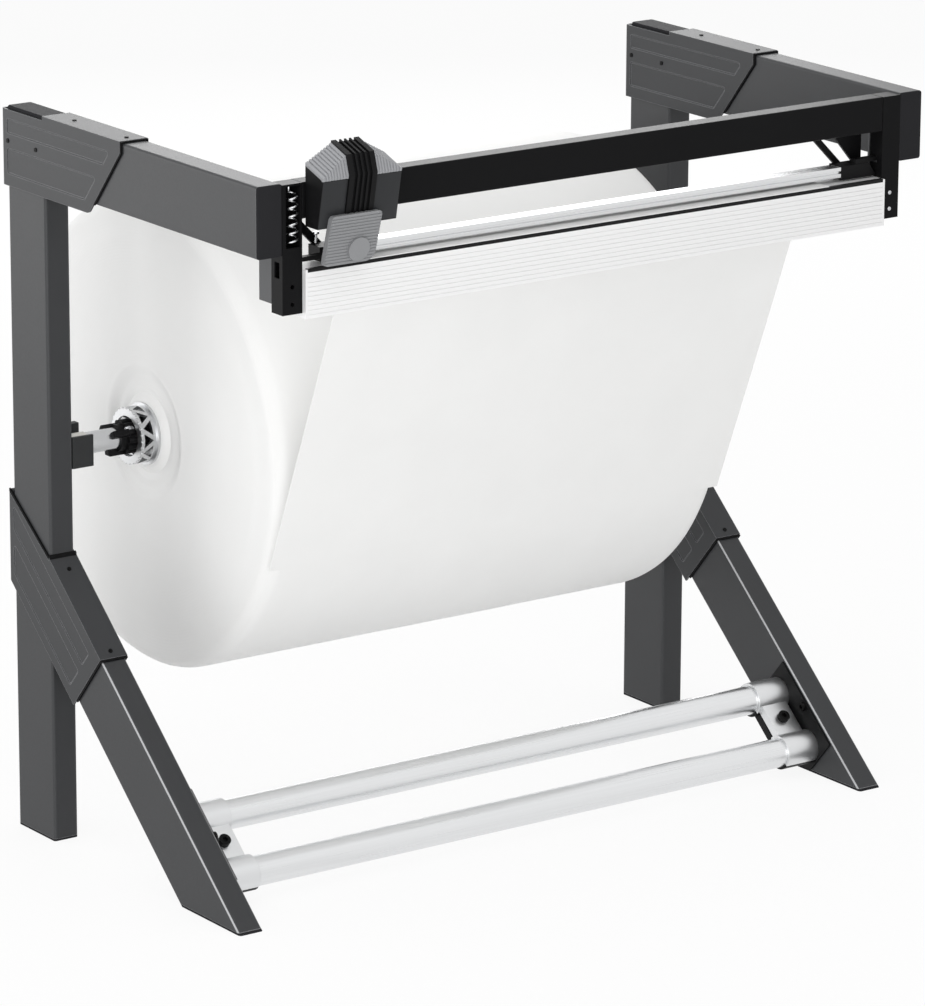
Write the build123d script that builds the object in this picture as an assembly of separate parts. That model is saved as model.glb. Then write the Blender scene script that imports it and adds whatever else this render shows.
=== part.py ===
from build123d import *
import math
import os

os.makedirs("parts", exist_ok=True)

# Roll cutting stand, millimetres, +Z up, front towards -Y, width along X.
# Places along the depth are given as the distance forward of the posts' back face.

# Frame profile and overall frame
overall_width = 1150.0
frame_height = 1075.0
arm_reach = 645.0
foot_reach = 591.0
leg_angle = 41.0
bar_depth = 100.0
bar_width = 40.0
bar_wall = 2.5
bar_corner = 4.0

# Plugs and caps in the ends of the profile
plug_plate = 3.0
plug_depth = 22.0
plug_clearance = 0.2
post_cap_height = 5.0
arm_cap_round = 2.0

# Joint covers
cover_wall = 3.0
cover_back_gap = 8.0
cover_corner = 6.0
upper_cover_drop = 14.0
upper_cover_foot = 222.0
upper_cover_reach = 305.0
upper_cover_shoulder = 17.0
lower_cover_end = 472.0
lower_cover_skirt = 11.0
lower_cover_dip = 11.0
panel_sink = 1.2
panel_slope = 2.0
panel_margin = 24.0
panel_corner = 4.5
upper_panel_rows = ((16.0, 38.0), (59.0, 97.0))
lower_panel_rows = ((16.0, 45.0), (60.0, 96.0))
seal_width = 3.2
seal_proud = 2.5
cover_screw_radius = 3.2
cover_screw_height = 1.2

# Lower cross tubes and their clamps
tube_radius = 22.0
tube_wall = 2.0
tube_spacing = 97.0
lower_tube_place = 118.5
sleeve_wall = 4.0
sleeve_length = 56.0
sleeve_clearance = 0.05
clamp_split = 1.5
clamp_web_thickness = 13.0
clamp_web_length = 46.0
clamp_plate_thickness = 3.0
clamp_plate_end = 3.0
clamp_plate_margin = 6.0
clamp_plate_front = 5.0
bolt_radius = 4.0
bolt_head_radius = 9.0
bolt_head_height = 8.0
bolt_socket_depth = 4.0
plate_bolt_head_radius = 7.0
plate_bolt_head_height = 5.0

# Roll, shaft and cradles
roll_radius = 350.0
roll_end_room = 135.0
roll_edge = 24.0
roll_dent_inner = 50.0
roll_dent_outer = 100.0
roll_dent_depth = 5.0
core_radius = 43.0
core_wall = 5.0
core_inset = 2.0
axle_place = 78.0
axle_height = 585.0
shaft_radius = 16.0
shaft_end_gap = 1.0
running_clearance = 0.05
bearing_wall = 1.5
bearing_length = 30.0
cradle_reach = 35.0
cradle_top = 18.0
cradle_floor = 11.0
cradle_rear_wall = 12.0
cradle_rear_rise = 9.0
cradle_clearance = 0.05
roll_lift = 70.0

# Core chucks and star knobs
chuck_flange_radius = 46.0
chuck_flange = 4.0
chuck_crown_radius = 42.0
chuck_crown_wall = 5.0
chuck_crown_length = 26.0
chuck_window_count = 14
chuck_window_width = 22.0
chuck_window_length = 15.0
chuck_rim = 4.0
chuck_window_edge = 1.0
chuck_scallop_length = 3.0
chuck_ring_bore = 30.0
chuck_scallop_count = 28
chuck_scallop = 2.5
chuck_scallop_out = 0.5
chuck_spigot_length = 60.0
chuck_spigot_clearance = 0.1
knob_gap = 0.3
knob_hub_radius = 20.0
knob_disc_radius = 22.0
knob_disc_length = 36.0
knob_lobe_radius = 4.5
knob_lobe_reach = 21.5
knob_lobe_count = 12
knob_hub_length = 46.0
knob_wing_count = 3
knob_wing_length = 14.0
knob_wing_width = 10.0
knob_wing_reach = 25.0

# Cross beam and end brackets
bracket_width = 32.0
bracket_depth = 27.0
bracket_wall = 3.0
bracket_back_wall = 2.0
bracket_top_drop = 2.0
bracket_length = 180.0
bracket_window_low = 92.0
bracket_window_edge = 3.0
bracket_slot_height = 22.0
bracket_slot_width = 12.0
bracket_slot_low = 50.0
accessory_hole_radius = 3.25
accessory_hole_pitch = 24.0
accessory_hole_low = 14.0
beam_height = 50.0
beam_depth = 30.0
beam_wall = 2.5
beam_end_chamfer = 1.2
hanger_depth = 30.0
hanger_thickness = 4.0
hanger_drop = 70.0
hanger_overlap = 60.0
bracket_bolt_head_radius = 6.0
bracket_bolt_head_height = 2.5
bracket_bolt_socket = 1.5

# Cut plate and counter blade
cut_edge_drop = 120.0
cut_plate_height = 68.0
cut_plate_proud = 8.0
cut_plate_cap = 3.5
cut_plate_wall = 8.0
cut_ledge_depth = 48.0
cut_ledge_thickness = 5.0
cut_lip_height = 24.0
cut_lip_round = 4.0
cut_rib_count = 10
cut_rib_groove = 1.6
cut_rib_depth = 1.2
counter_blade_width = 6.0
counter_blade_height = 4.0
counter_blade_proud = 1.0

# Web of film from the roll to the cutting edge
web_thickness = 1.2
web_clearance = 0.4

# Rail, links and springs
rail_height = 15.0
rail_depth = 22.0
rail_place = 611.5
rail_groove = 4.0
rail_groove_depth = 3.0
rail_lift = 4.4
clamp_strip_height = 1.5
clamp_strip_depth = 12.0
rail_left_gap = 36.0
rail_right_gap = 3.0
left_block_length = 32.0
right_block_length = 63.0
block_height = 20.0
block_drop = 4.0
block_depth = 18.0
block_socket = 12.0
block_slope = 12.0
link_run = 66.0
link_drop = 66.0
link_pivot_height = 9.0
link_spacing = 30.5
link_inset = 11.0
link_width = 9.0
link_thickness = 5.0
link_gap = 0.6
rocker_edge = 8.0
rocker_side = 7.0
pin_radius = 3.0
pin_head_radius = 5.0
pin_head = 2.5
pivot_plate_thickness = 9.0
pivot_plate_margin = 10.0
pivot_plate_height = 34.0
open_pivot_clearance = 0.3
spring_radius = 7.8
spring_wire = 3.0
spring_turns = 6
spring_hook = 4.5
spring_lead = 3.0
spring_low = 91.0
spring_gap = 0.4
spring_front = 6.5
finger_height = 6.0
finger_rear = 8.0
finger_fore = 3.0
finger_width = 20.0

# Knife carriage
carriage_start = 68.0
carriage_width = 128.0
carriage_depth = 43.0
carriage_gap = 2.0
carriage_bottom_drop = 62.0
carriage_front_drop = 10.0
carriage_roof_rise = 23.0
carriage_roof_slope = 15.0
carriage_lean = 14.0
carriage_hip = 8.0
band_width = 45.0
band_thickness = 5.0
band_ribs = 5
band_groove = 5.0
band_groove_depth = 3.0
band_proud = 2.5
band_low = 18.0
grip_thickness = 4.0
grip_grooves = 8
grip_groove = 2.0
grip_groove_depth = 1.2
neck_width = 32.0
neck_height = 14.5
neck_side_gap = 1.0
neck_gap = 4.0
saddle_wall = 5.0
saddle_clearance = 0.3
saddle_lip = 2.4
housing_width = 82.0
housing_shift = 7.0
housing_top = 18.0
housing_height = 71.0
housing_thickness = 9.0
housing_shear = 5.0
housing_corner = 6.0
housing_corner_large = 16.0
housing_boss_radius = 17.0
housing_boss_height = 3.5
housing_grooves = 15
housing_groove = 1.4
housing_groove_depth = 0.8
blade_radius = 23.5
blade_thickness = 1.2
blade_gap = 1.0
blade_lift = 1.0
blade_bore = 6.0
axle_collar_radius = 11.0
axle_collar = 5.0
axle_nut = 3.0

# Worked-out places
half_width = overall_width / 2
inner_face = half_width - bar_width
roll_end = inner_face - roll_end_room
bracket_inner = inner_face - bracket_width
rail_left_end = bracket_inner - rail_left_gap
rail_right_end = bracket_inner - rail_right_gap
carriage_place = carriage_start - bracket_inner
carriage_back = arm_reach + carriage_gap
carriage_front = carriage_back + carriage_depth
front_reach = carriage_front + band_proud
rear_reach = roll_radius - axle_place
posts_back_y = (front_reach - rear_reach) / 2
slope = math.radians(leg_angle)


def fwd(distance):
    """Y of a place that lies a distance forward of the posts' back face."""
    return posts_back_y - distance


def block(x0, x1, d0, d1, z0, z1):
    """Box between two widths, two distances forward and two heights."""
    size = Box(abs(x1 - x0), abs(d1 - d0), abs(z1 - z0))
    return Pos((x0 + x1) / 2, fwd((d0 + d1) / 2), (z0 + z1) / 2) * size


def side_prism(outline, x0, x1):
    """Prism of an outline of (forward, height) points, between two widths."""
    line = Polyline(*[(x0, fwd(d), z) for d, z in outline], close=True)
    return extrude(make_face(line), amount=x1 - x0, dir=(1, 0, 0))


def front_prism(outline, d0, d1):
    """Prism of an outline of (width, height) points, between two distances forward."""
    line = Polyline(*[(x, fwd(d0), z) for x, z in outline], close=True)
    return extrude(make_face(line), amount=d1 - d0, dir=(0, -1, 0))


def rod_x(d, z, radius, x0, x1):
    """Round bar along the width."""
    return Pos((x0 + x1) / 2, fwd(d), z) * Rot(0, 90, 0) * Cylinder(radius, abs(x1 - x0))


def rod_y(x, z, radius, d0, d1):
    """Round bar along the depth."""
    return Pos(x, fwd((d0 + d1) / 2), z) * Rot(90, 0, 0) * Cylinder(radius, abs(d1 - d0))


def edges_along(solid, direction):
    """Straight edges of a solid that run in a direction."""
    way = Vector(*direction).normalized()
    straight = [e for e in solid.edges() if e.geom_type == GeomType.LINE]
    return [e for e in straight if abs(abs((e % 0.5).dot(way)) - 1) < 1e-6]


def leg_point(along, across):
    """(forward, height) of a place on the leg: along it from the toe, across it out of its front face."""
    d = foot_reach - along * math.cos(slope) + across * math.sin(slope)
    return (d, along * math.sin(slope) + across * math.cos(slope))


def leg_along(d, across):
    """How far along the leg the line at a depth across it meets a distance forward."""
    return (foot_reach + across * math.sin(slope) - d) / math.cos(slope)


def leg_plane(along, across, x):
    """Plane on the leg that faces out of its front face."""
    d, z = leg_point(along, across)
    return Plane((x, fwd(d), z), x_dir=(1, 0, 0), z_dir=(0, -math.sin(slope), math.cos(slope)))


def panel_pocket(outline, face, sink):
    """Shallow pocket with sloped rims, sunk from a cheek's face by a signed depth."""
    rim = make_face(Polyline(*[(face, fwd(d), z) for d, z in outline], close=True))
    rim = fillet(rim.vertices(), panel_corner)
    floor = Pos(sink, 0, 0) * offset(rim, amount=-panel_slope)
    return loft([rim.face(), floor.face()], ruled=True)


def other_side(solid):
    return mirror(solid, about=Plane.YZ)


made = {}


def keep(name, *solids):
    """Write one node, of one solid or of a group of like ones."""
    shape = solids[0] if len(solids) == 1 else Compound(children=list(solids))
    made[name] = shape
    export_step(shape, f"parts/{name}.step")


def keep_pair(name, solid):
    """Write a piece of the right side and its mirror image on the left."""
    keep("right_" + name, solid)
    keep("left_" + name, other_side(solid))


# Posts
post_top = frame_height - cover_wall
post_middle = half_width - bar_width / 2


def upright(x, low, high, grow):
    """Rounded bar with the post's section, grown or shrunk all round."""
    section = RectangleRounded(bar_width + 2 * grow, bar_depth + 2 * grow, bar_corner + grow)
    return Pos(x, fwd(bar_depth / 2), low) * extrude(section, amount=high - low)


post = upright(post_middle, plug_plate, post_top, 0)
post -= upright(post_middle, plug_plate, post_top, -bar_wall)
keep_pair("post", post)

plug_fit = -bar_wall - plug_clearance
post_cap = upright(post_middle, post_top, post_top + post_cap_height, 0)
post_cap = chamfer(post_cap.faces().sort_by(Axis.Z)[-1].edges(), post_cap_height * 0.3)
post_cap += upright(post_middle, post_top - plug_depth, post_top, plug_fit)
post_foot = upright(post_middle, 0, plug_plate, 0)
post_foot += upright(post_middle, plug_plate, plug_plate + plug_depth, plug_fit)

# Arms
arm_low = frame_height - bar_depth


def arm_bar(d0, d1, grow):
    """Rounded bar with the arm's section, lying along the depth."""
    section = RectangleRounded(bar_width + 2 * grow, bar_depth + 2 * grow, bar_corner + grow)
    start = Plane((post_middle, fwd(d0), frame_height - bar_depth / 2), x_dir=(1, 0, 0), z_dir=(0, -1, 0))
    return start * extrude(section, amount=d1 - d0)


arm_end = arm_reach - plug_plate
arm = arm_bar(bar_depth, arm_end, 0) - arm_bar(bar_depth, arm_end, -bar_wall)
keep_pair("arm", arm)
arm_cap = arm_bar(arm_end, arm_reach, 0)
arm_cap = fillet(arm_cap.faces().sort_by(Axis.Y)[0].edges(), arm_cap_round)
arm_cap += arm_bar(arm_end - plug_depth, arm_end, plug_fit)

# Legs
leg_way = (0, math.cos(slope), math.sin(slope))


def leg_bar(grow, low, high):
    """Rounded bar with the leg's section, cut level at its foot and upright at the post's front face."""
    start = leg_along(foot_reach, 0) - bar_depth
    end = leg_along(bar_depth, -bar_depth) + 2 * bar_depth
    outline = [
        leg_point(start, grow),
        leg_point(start, -bar_depth - grow),
        leg_point(end, -bar_depth - grow),
        leg_point(end, grow),
    ]
    bar = side_prism(outline, inner_face - grow, half_width + grow)
    bar = fillet(edges_along(bar, leg_way), bar_corner + grow)
    return bar & block(0, overall_width, bar_depth, foot_reach + bar_depth, low, high)


leg = leg_bar(0, plug_plate, frame_height) - leg_bar(-bar_wall, plug_plate, frame_height)
keep_pair("leg", leg)
leg_foot = leg_bar(0, 0, plug_plate) + leg_bar(plug_fit, plug_plate, plug_plate + plug_depth)

keep("post_caps", post_cap, other_side(post_cap))
keep("arm_caps", arm_cap, other_side(arm_cap))
keep("foot_plugs", post_foot, leg_foot, other_side(post_foot), other_side(leg_foot))

# Upper joint covers
cover_inner = inner_face - cover_wall
cover_outer = half_width + cover_wall
cover_back = -cover_back_gap - cover_wall
cover_top = frame_height + cover_wall
cover_low = arm_low - upper_cover_drop
shoulder = frame_height - upper_cover_shoulder + cover_wall
cheek_slant = (upper_cover_reach - upper_cover_foot) / (shoulder - cover_low)


def slanted_front(z):
    """Distance forward of the upper cover's slanted front edge at a height."""
    return upper_cover_foot + (z - cover_low) * cheek_slant


upper_outline = [
    (cover_back, cover_low),
    (upper_cover_foot, cover_low),
    (upper_cover_reach, shoulder),
    (upper_cover_reach, cover_top),
    (bar_depth, cover_top),
    (bar_depth, post_top),
    (cover_back, post_top),
]
upper_cover = side_prism(upper_outline, cover_inner, cover_outer)
back_edges = [e for e in edges_along(upper_cover, (0, 0, 1)) if e.center().Y > fwd(cover_back / 2)]
upper_cover = fillet(back_edges, cover_corner)
low_edges = [e for e in edges_along(upper_cover, (1, 0, 0)) if e.center().Z < cover_low + 1]
front_low = [e for e in low_edges if e.center().Y < fwd(bar_depth)]
upper_cover = fillet(front_low, 2 * cover_corner)
upper_cover -= block(inner_face, half_width, -cover_back_gap, arm_reach, 0, frame_height)
for high, low in upper_panel_rows:
    top, bottom = frame_height - high, frame_height - low
    panel_outline = [
        (cover_wall, bottom),
        (slanted_front(bottom) - panel_margin, bottom),
        (slanted_front(top) - panel_margin, top),
        (cover_wall, top),
    ]
    upper_cover -= panel_pocket(panel_outline, cover_inner, panel_sink)
    upper_cover -= panel_pocket(panel_outline, cover_outer, -panel_sink)
keep_pair("upper_cover", upper_cover)

# Lower joint covers
cheek_low = -bar_depth - lower_cover_skirt


def ridge(d, rise):
    """Point of the lower cover's top edge on the post's cheek, at a distance forward, raised by a rise."""
    dip = lower_cover_dip * (bar_depth - d) / (bar_depth - cover_back)
    return leg_point(leg_along(d, rise - dip), rise - dip)


lower_outline = [
    leg_point(lower_cover_end, cover_wall),
    leg_point(lower_cover_end, cheek_low),
    leg_point(leg_along(cover_back, cheek_low), cheek_low),
    ridge(cover_back, 0),
    ridge(bar_depth, 0),
    leg_point(leg_along(bar_depth, cover_wall), cover_wall),
]
lower_cover = side_prism(lower_outline, cover_inner, cover_outer)
back_edges = [e for e in edges_along(lower_cover, (0, 0, 1)) if e.center().Y > fwd(cover_back / 2)]
lower_cover = fillet(back_edges, cover_corner)
leg_room = [
    leg_point(lower_cover_end - bar_depth, 0),
    leg_point(lower_cover_end - bar_depth, 2 * cheek_low),
    leg_point(leg_along(bar_depth, 2 * cheek_low), 2 * cheek_low),
    leg_point(leg_along(bar_depth, 0), 0),
]
lower_cover -= side_prism(leg_room, inner_face, half_width)
lower_cover -= block(inner_face, half_width, -cover_back_gap, bar_depth, 0, frame_height)
for high, low in lower_panel_rows:
    panel_outline = [
        leg_point(lower_cover_end + panel_margin, -high),
        leg_point(lower_cover_end + panel_margin, -low),
        leg_point(leg_along(cover_wall, -low), -low),
        leg_point(leg_along(cover_wall, -high), -high),
    ]
    lower_cover -= panel_pocket(panel_outline, cover_inner, panel_sink)
    lower_cover -= panel_pocket(panel_outline, cover_outer, -panel_sink)
keep_pair("lower_cover", lower_cover)

# Dark seals where the covers end on the profile
seal_inner = inner_face - seal_proud
seal_outer = half_width + seal_proud
seal_top = frame_height + seal_proud
upper_seal_outline = [
    (slanted_front(arm_low), arm_low),
    (slanted_front(arm_low) + seal_width, arm_low),
    (upper_cover_reach + seal_width, shoulder),
    (upper_cover_reach + seal_width, seal_top),
    (upper_cover_reach, seal_top),
    (upper_cover_reach, shoulder),
]
upper_seal = side_prism(upper_seal_outline, seal_inner, seal_outer)
upper_seal -= block(inner_face, half_width, 0, arm_reach, 0, frame_height)
seal_front = bar_depth + seal_proud
ridge_seal_outline = [
    ridge(-cover_back_gap, 0),
    ridge(bar_depth, 0),
    leg_point(leg_along(bar_depth, cover_wall), cover_wall),
    leg_point(leg_along(seal_front, cover_wall), cover_wall),
    leg_point(leg_along(seal_front, cover_wall + seal_width), cover_wall + seal_width),
    leg_point(leg_along(bar_depth, cover_wall + seal_width), cover_wall + seal_width),
    ridge(bar_depth, seal_width),
    ridge(-cover_back_gap, seal_width),
]
ridge_seal = side_prism(ridge_seal_outline, seal_inner, seal_outer)
ridge_seal -= block(inner_face, half_width, -bar_depth, bar_depth, 0, frame_height)
end_seal_outline = [
    leg_point(lower_cover_end, seal_proud),
    leg_point(lower_cover_end, -bar_depth),
    leg_point(lower_cover_end - seal_width, -bar_depth),
    leg_point(lower_cover_end - seal_width, seal_proud),
]
end_seal = side_prism(end_seal_outline, seal_inner, seal_outer)
end_seal -= side_prism(leg_room, inner_face, half_width)
seals = [s for group in (upper_seal, ridge_seal, end_seal) for s in group.solids()]
keep("cover_seals", *seals, *[other_side(s) for s in seals])

# Cover screws: two on each cheek between the panels, two on top and two on the lower cover's front
screw_row = frame_height - (upper_panel_rows[0][1] + upper_panel_rows[1][0]) / 2
screw_slot = Box(2 * cover_screw_radius, cover_screw_radius / 3, cover_screw_height)
screw = Cylinder(cover_screw_radius, cover_screw_height, align=(Align.CENTER, Align.CENTER, Align.MIN))
screw -= Pos(0, 0, cover_screw_height) * screw_slot
screws = []
for d in (2 * cover_wall, bar_depth - 6 * cover_wall):
    screws.append(Plane((cover_outer, fwd(d), screw_row), x_dir=(0, 1, 0), z_dir=(1, 0, 0)) * screw)
    screws.append(Plane((cover_inner, fwd(d), screw_row), x_dir=(0, 1, 0), z_dir=(-1, 0, 0)) * screw)
for d in (bar_depth + 50, upper_cover_reach - 6 * cover_wall):
    screws.append(Pos(post_middle, fwd(d), cover_top) * screw)
for along in (lower_cover_end + 4 * cover_wall, leg_along(bar_depth, cover_wall) - 8 * cover_wall):
    screws.append(leg_plane(along, cover_wall, post_middle) * screw)
keep("cover_screws", *screws, *[other_side(s) for s in screws])

# Lower cross tubes, held in two-part clamps on plates on the legs
tube_line = -bar_depth / 2
upper_tube_place = lower_tube_place + tube_spacing
plate_face = inner_face - clamp_plate_thickness
sleeve_start = plate_face - sleeve_length
for name, place in (("front_tube", lower_tube_place), ("rear_tube", upper_tube_place)):
    d, z = leg_point(place, tube_line)
    tube = rod_x(d, z, tube_radius, -plate_face, plate_face)
    tube -= rod_x(d, z, tube_radius - tube_wall, -plate_face, plate_face)
    keep(name, tube)

clamp_middle = (lower_tube_place + upper_tube_place) / 2
sleeve_middle = (sleeve_start + plate_face) / 2


def clamp_half(side):
    """Half of the double clamp: two half sleeves and the web between them, on one side of the split."""
    web_start = tube_line + side * clamp_split / 2
    web_end = tube_line + side * (clamp_split / 2 + clamp_web_thickness)
    web_outline = [
        leg_point(lower_tube_place, web_start),
        leg_point(upper_tube_place, web_start),
        leg_point(upper_tube_place, web_end),
        leg_point(lower_tube_place, web_end),
    ]
    web_half = clamp_web_length / 2
    half = side_prism(web_outline, sleeve_middle - web_half, sleeve_middle + web_half)
    for place in (lower_tube_place, upper_tube_place):
        half += rod_x(*leg_point(place, tube_line), tube_radius + sleeve_wall, sleeve_start, plate_face)
    for place in (lower_tube_place, upper_tube_place):
        bore = tube_radius + sleeve_clearance
        half -= rod_x(*leg_point(place, tube_line), bore, sleeve_start, plate_face)
    far = tube_line + side * 2 * tube_radius
    room = [
        leg_point(lower_tube_place - 2 * tube_radius, web_start),
        leg_point(upper_tube_place + 2 * tube_radius, web_start),
        leg_point(upper_tube_place + 2 * tube_radius, far),
        leg_point(lower_tube_place - 2 * tube_radius, far),
    ]
    half &= side_prism(room, sleeve_start, plate_face)
    return half - leg_plane(clamp_middle, tube_line, sleeve_middle) * Cylinder(
        bolt_radius + running_clearance, 4 * tube_radius
    )


keep_pair("clamp_front", clamp_half(1))
keep_pair("clamp_back", clamp_half(-1))

plate_low = -bar_depth + clamp_plate_margin
plate_reach = tube_radius + sleeve_wall + clamp_plate_end
clamp_plate_outline = [
    leg_point(lower_tube_place - plate_reach, -clamp_plate_front),
    leg_point(lower_tube_place - plate_reach, plate_low),
    leg_point(upper_tube_place + plate_reach, plate_low),
    leg_point(upper_tube_place + plate_reach, -clamp_plate_front),
]
clamp_plate = side_prism(clamp_plate_outline, plate_face, inner_face)
clamp_plate &= block(plate_face, inner_face, 0, 2 * foot_reach, plug_plate + 1, frame_height)
keep("clamp_plates", clamp_plate, other_side(clamp_plate))


def socket_bolt(head_radius, head_height, socket_depth, shank_length):
    """Socket-head bolt, head upwards, its head's seat at zero."""
    low = (Align.CENTER, Align.CENTER, Align.MIN)
    high = (Align.CENTER, Align.CENTER, Align.MAX)
    bolt = Cylinder(head_radius, head_height, align=low)
    socket = extrude(RegularPolygon(head_radius / 2, 6), amount=socket_depth)
    bolt -= Pos(0, 0, head_height - socket_depth) * socket
    if shank_length:
        bolt += Cylinder(bolt_radius, shank_length, align=high)
    return bolt


web_front = tube_line + clamp_split / 2 + clamp_web_thickness
shank = 2 * clamp_web_thickness + clamp_split
clamp_bolt = socket_bolt(bolt_head_radius, bolt_head_height, bolt_socket_depth, shank)
bolts = [leg_plane(clamp_middle, web_front, sleeve_middle) * clamp_bolt]
plate_bolt_line = -clamp_plate_front - plate_bolt_head_radius - 1
d, z = leg_point(clamp_middle, plate_bolt_line)
seat = Plane((plate_face, fwd(d), z), x_dir=(0, 1, 0), z_dir=(-1, 0, 0))
bolts.append(seat * socket_bolt(plate_bolt_head_radius, plate_bolt_head_height, bolt_socket_depth, 0))

# Cradles on the posts, open at the top
bearing_radius = shaft_radius + running_clearance + bearing_wall
slot_radius = bearing_radius + cradle_clearance
cradle_start = inner_face - cradle_reach
cradle_low = axle_height - slot_radius - cradle_floor
cradle_high = axle_height + cradle_top
cradle_rear = axle_place - slot_radius - cradle_rear_wall
cradle_outline = [
    (cradle_rear, cradle_low),
    (bar_depth, cradle_low),
    (bar_depth, cradle_high),
    (axle_place, cradle_high),
    (axle_place, cradle_high + cradle_rear_rise),
    (cradle_rear, cradle_high + cradle_rear_rise),
]
cradle = side_prism(cradle_outline, cradle_start, inner_face)
cradle -= rod_x(axle_place, axle_height, slot_radius, cradle_start, inner_face)
cradle -= block(
    cradle_start, inner_face, axle_place - slot_radius, axle_place + slot_radius, axle_height, frame_height
)
keep_pair("cradle", cradle)

# Bearing bushes, shaft, core and roll
bearing_middle = (cradle_start + inner_face) / 2
bearing = rod_x(
    axle_place, axle_height, bearing_radius, bearing_middle - bearing_length / 2, bearing_middle + bearing_length / 2
)
shaft_end = inner_face - shaft_end_gap
bearing -= rod_x(axle_place, axle_height, shaft_radius + running_clearance, 0, inner_face)
keep_pair("bearing", bearing)
keep("roll_shaft", rod_x(axle_place, axle_height, shaft_radius, -shaft_end, shaft_end))

core_end = roll_end - core_inset
core = rod_x(axle_place, axle_height, core_radius, -core_end, core_end)
core -= rod_x(axle_place, axle_height, core_radius - core_wall, -core_end, core_end)
keep("roll_core", core)

roll_bore = core_radius + running_clearance
dent_middle = (roll_dent_inner + roll_dent_outer) / 2
edge_turn = roll_edge * (1 - math.sqrt(0.5))


def roll_profile(side):
    """One end of the roll's profile, from its bore to its outer face, in (width, radius)."""
    end = side * roll_end
    shoulder_x = side * (roll_end - roll_edge)
    return [
        Line((end, roll_bore), (end, roll_dent_inner)),
        ThreePointArc(
            (end, roll_dent_inner), (end - side * roll_dent_depth, dent_middle), (end, roll_dent_outer)
        ),
        Line((end, roll_dent_outer), (end, roll_radius - roll_edge)),
        ThreePointArc(
            (end, roll_radius - roll_edge),
            (end - side * edge_turn, roll_radius - edge_turn),
            (shoulder_x, roll_radius),
        ),
    ]


roll_lines = roll_profile(1) + roll_profile(-1)
roll_lines.append(Line((-roll_end, roll_bore), (roll_end, roll_bore)))
roll_lines.append(Line((roll_edge - roll_end, roll_radius), (roll_end - roll_edge, roll_radius)))
roll_face = make_face(Curve() + roll_lines)
roll = Pos(0, fwd(axle_place), axle_height) * revolve(roll_face, Axis.X, 360)
keep("roll", roll)

# Core chucks: spigot in the core, flange on the roll's end and windowed crown
flange_end = roll_end + chuck_flange
crown_end = flange_end + chuck_crown_length
spigot_radius = core_radius - core_wall - chuck_spigot_clearance
chuck = rod_x(axle_place, axle_height, spigot_radius, roll_end - chuck_spigot_length, roll_end)
chuck += rod_x(axle_place, axle_height, chuck_flange_radius, roll_end, flange_end)
crown = rod_x(axle_place, axle_height, chuck_crown_radius, flange_end, crown_end)
crown -= rod_x(axle_place, axle_height, chuck_crown_radius - chuck_crown_wall, flange_end, crown_end - chuck_rim)
crown -= rod_x(axle_place, axle_height, chuck_ring_bore, flange_end, crown_end)
window_middle = crown_end - chuck_rim - chuck_window_edge - chuck_window_length / 2
half_length, half_opening = chuck_window_length / 2, chuck_window_width / 2
window_corners = [(-half_length, -half_opening), (-half_length, half_opening), (half_length, 0)]
window = extrude(make_face(Polyline(*window_corners, close=True)), amount=2 * chuck_crown_wall, both=True)
for step in range(chuck_window_count):
    turn = Rot(360 * (step + 0.5) / chuck_window_count, 0, 0)
    place = Pos(window_middle, 0, chuck_crown_radius) * Rot(0, 0, 180 * (step % 2))
    crown -= Pos(0, fwd(axle_place), axle_height) * turn * place * window
scallop = Pos(crown_end, 0, chuck_crown_radius + chuck_scallop_out) * Rot(0, 90, 0) * Cylinder(
    chuck_scallop, 2 * chuck_scallop_length
)
for step in range(chuck_scallop_count):
    crown -= Pos(0, fwd(axle_place), axle_height) * Rot(360 * step / chuck_scallop_count, 0, 0) * scallop
chuck += crown
chuck -= rod_x(axle_place, axle_height, shaft_radius + running_clearance, 0, crown_end)
keep_pair("core_chuck", chuck)

# Star knobs that clamp the chucks on the shaft
knob_start = flange_end + knob_gap
knob_end = knob_start + knob_hub_length
disc_end = knob_start + knob_disc_length
knob = rod_x(axle_place, axle_height, knob_hub_radius, knob_start, knob_end)
knob += rod_x(axle_place, axle_height, knob_disc_radius, knob_start, disc_end)
for step in range(knob_lobe_count):
    angle = 2 * math.pi * step / knob_lobe_count
    d = axle_place + knob_lobe_reach * math.sin(angle)
    z = axle_height + knob_lobe_reach * math.cos(angle)
    knob += rod_x(d, z, knob_lobe_radius, knob_start, disc_end)
wing = Pos(knob_end, 0, 0) * Box(
    2 * knob_wing_length, knob_wing_width, knob_wing_reach, align=(Align.CENTER, Align.CENTER, Align.MIN)
)
wing = fillet(edges_along(wing, (0, 1, 0)), knob_wing_width / 3)
for step in range(knob_wing_count):
    knob += Pos(0, fwd(axle_place), axle_height) * Rot(360 * (step + 0.5) / knob_wing_count, 0, 0) * wing
knob -= rod_x(
    axle_place, axle_height, shaft_radius + running_clearance, knob_start - knob_wing_length, knob_end + knob_wing_length
)
keep_pair("chuck_knob", knob)

# End brackets: channels on the inner faces of the arms, the left one closed at the back
bracket_top = frame_height - bracket_top_drop
bracket_low = bracket_top - bracket_length
bracket_back = arm_reach - bracket_depth
bracket = block(bracket_inner, inner_face, bracket_back, arm_reach, bracket_low, bracket_top)
bracket -= block(
    bracket_inner + bracket_wall,
    inner_face - bracket_wall,
    bracket_back,
    arm_reach - bracket_wall,
    bracket_low,
    bracket_top - bracket_wall,
)
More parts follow.
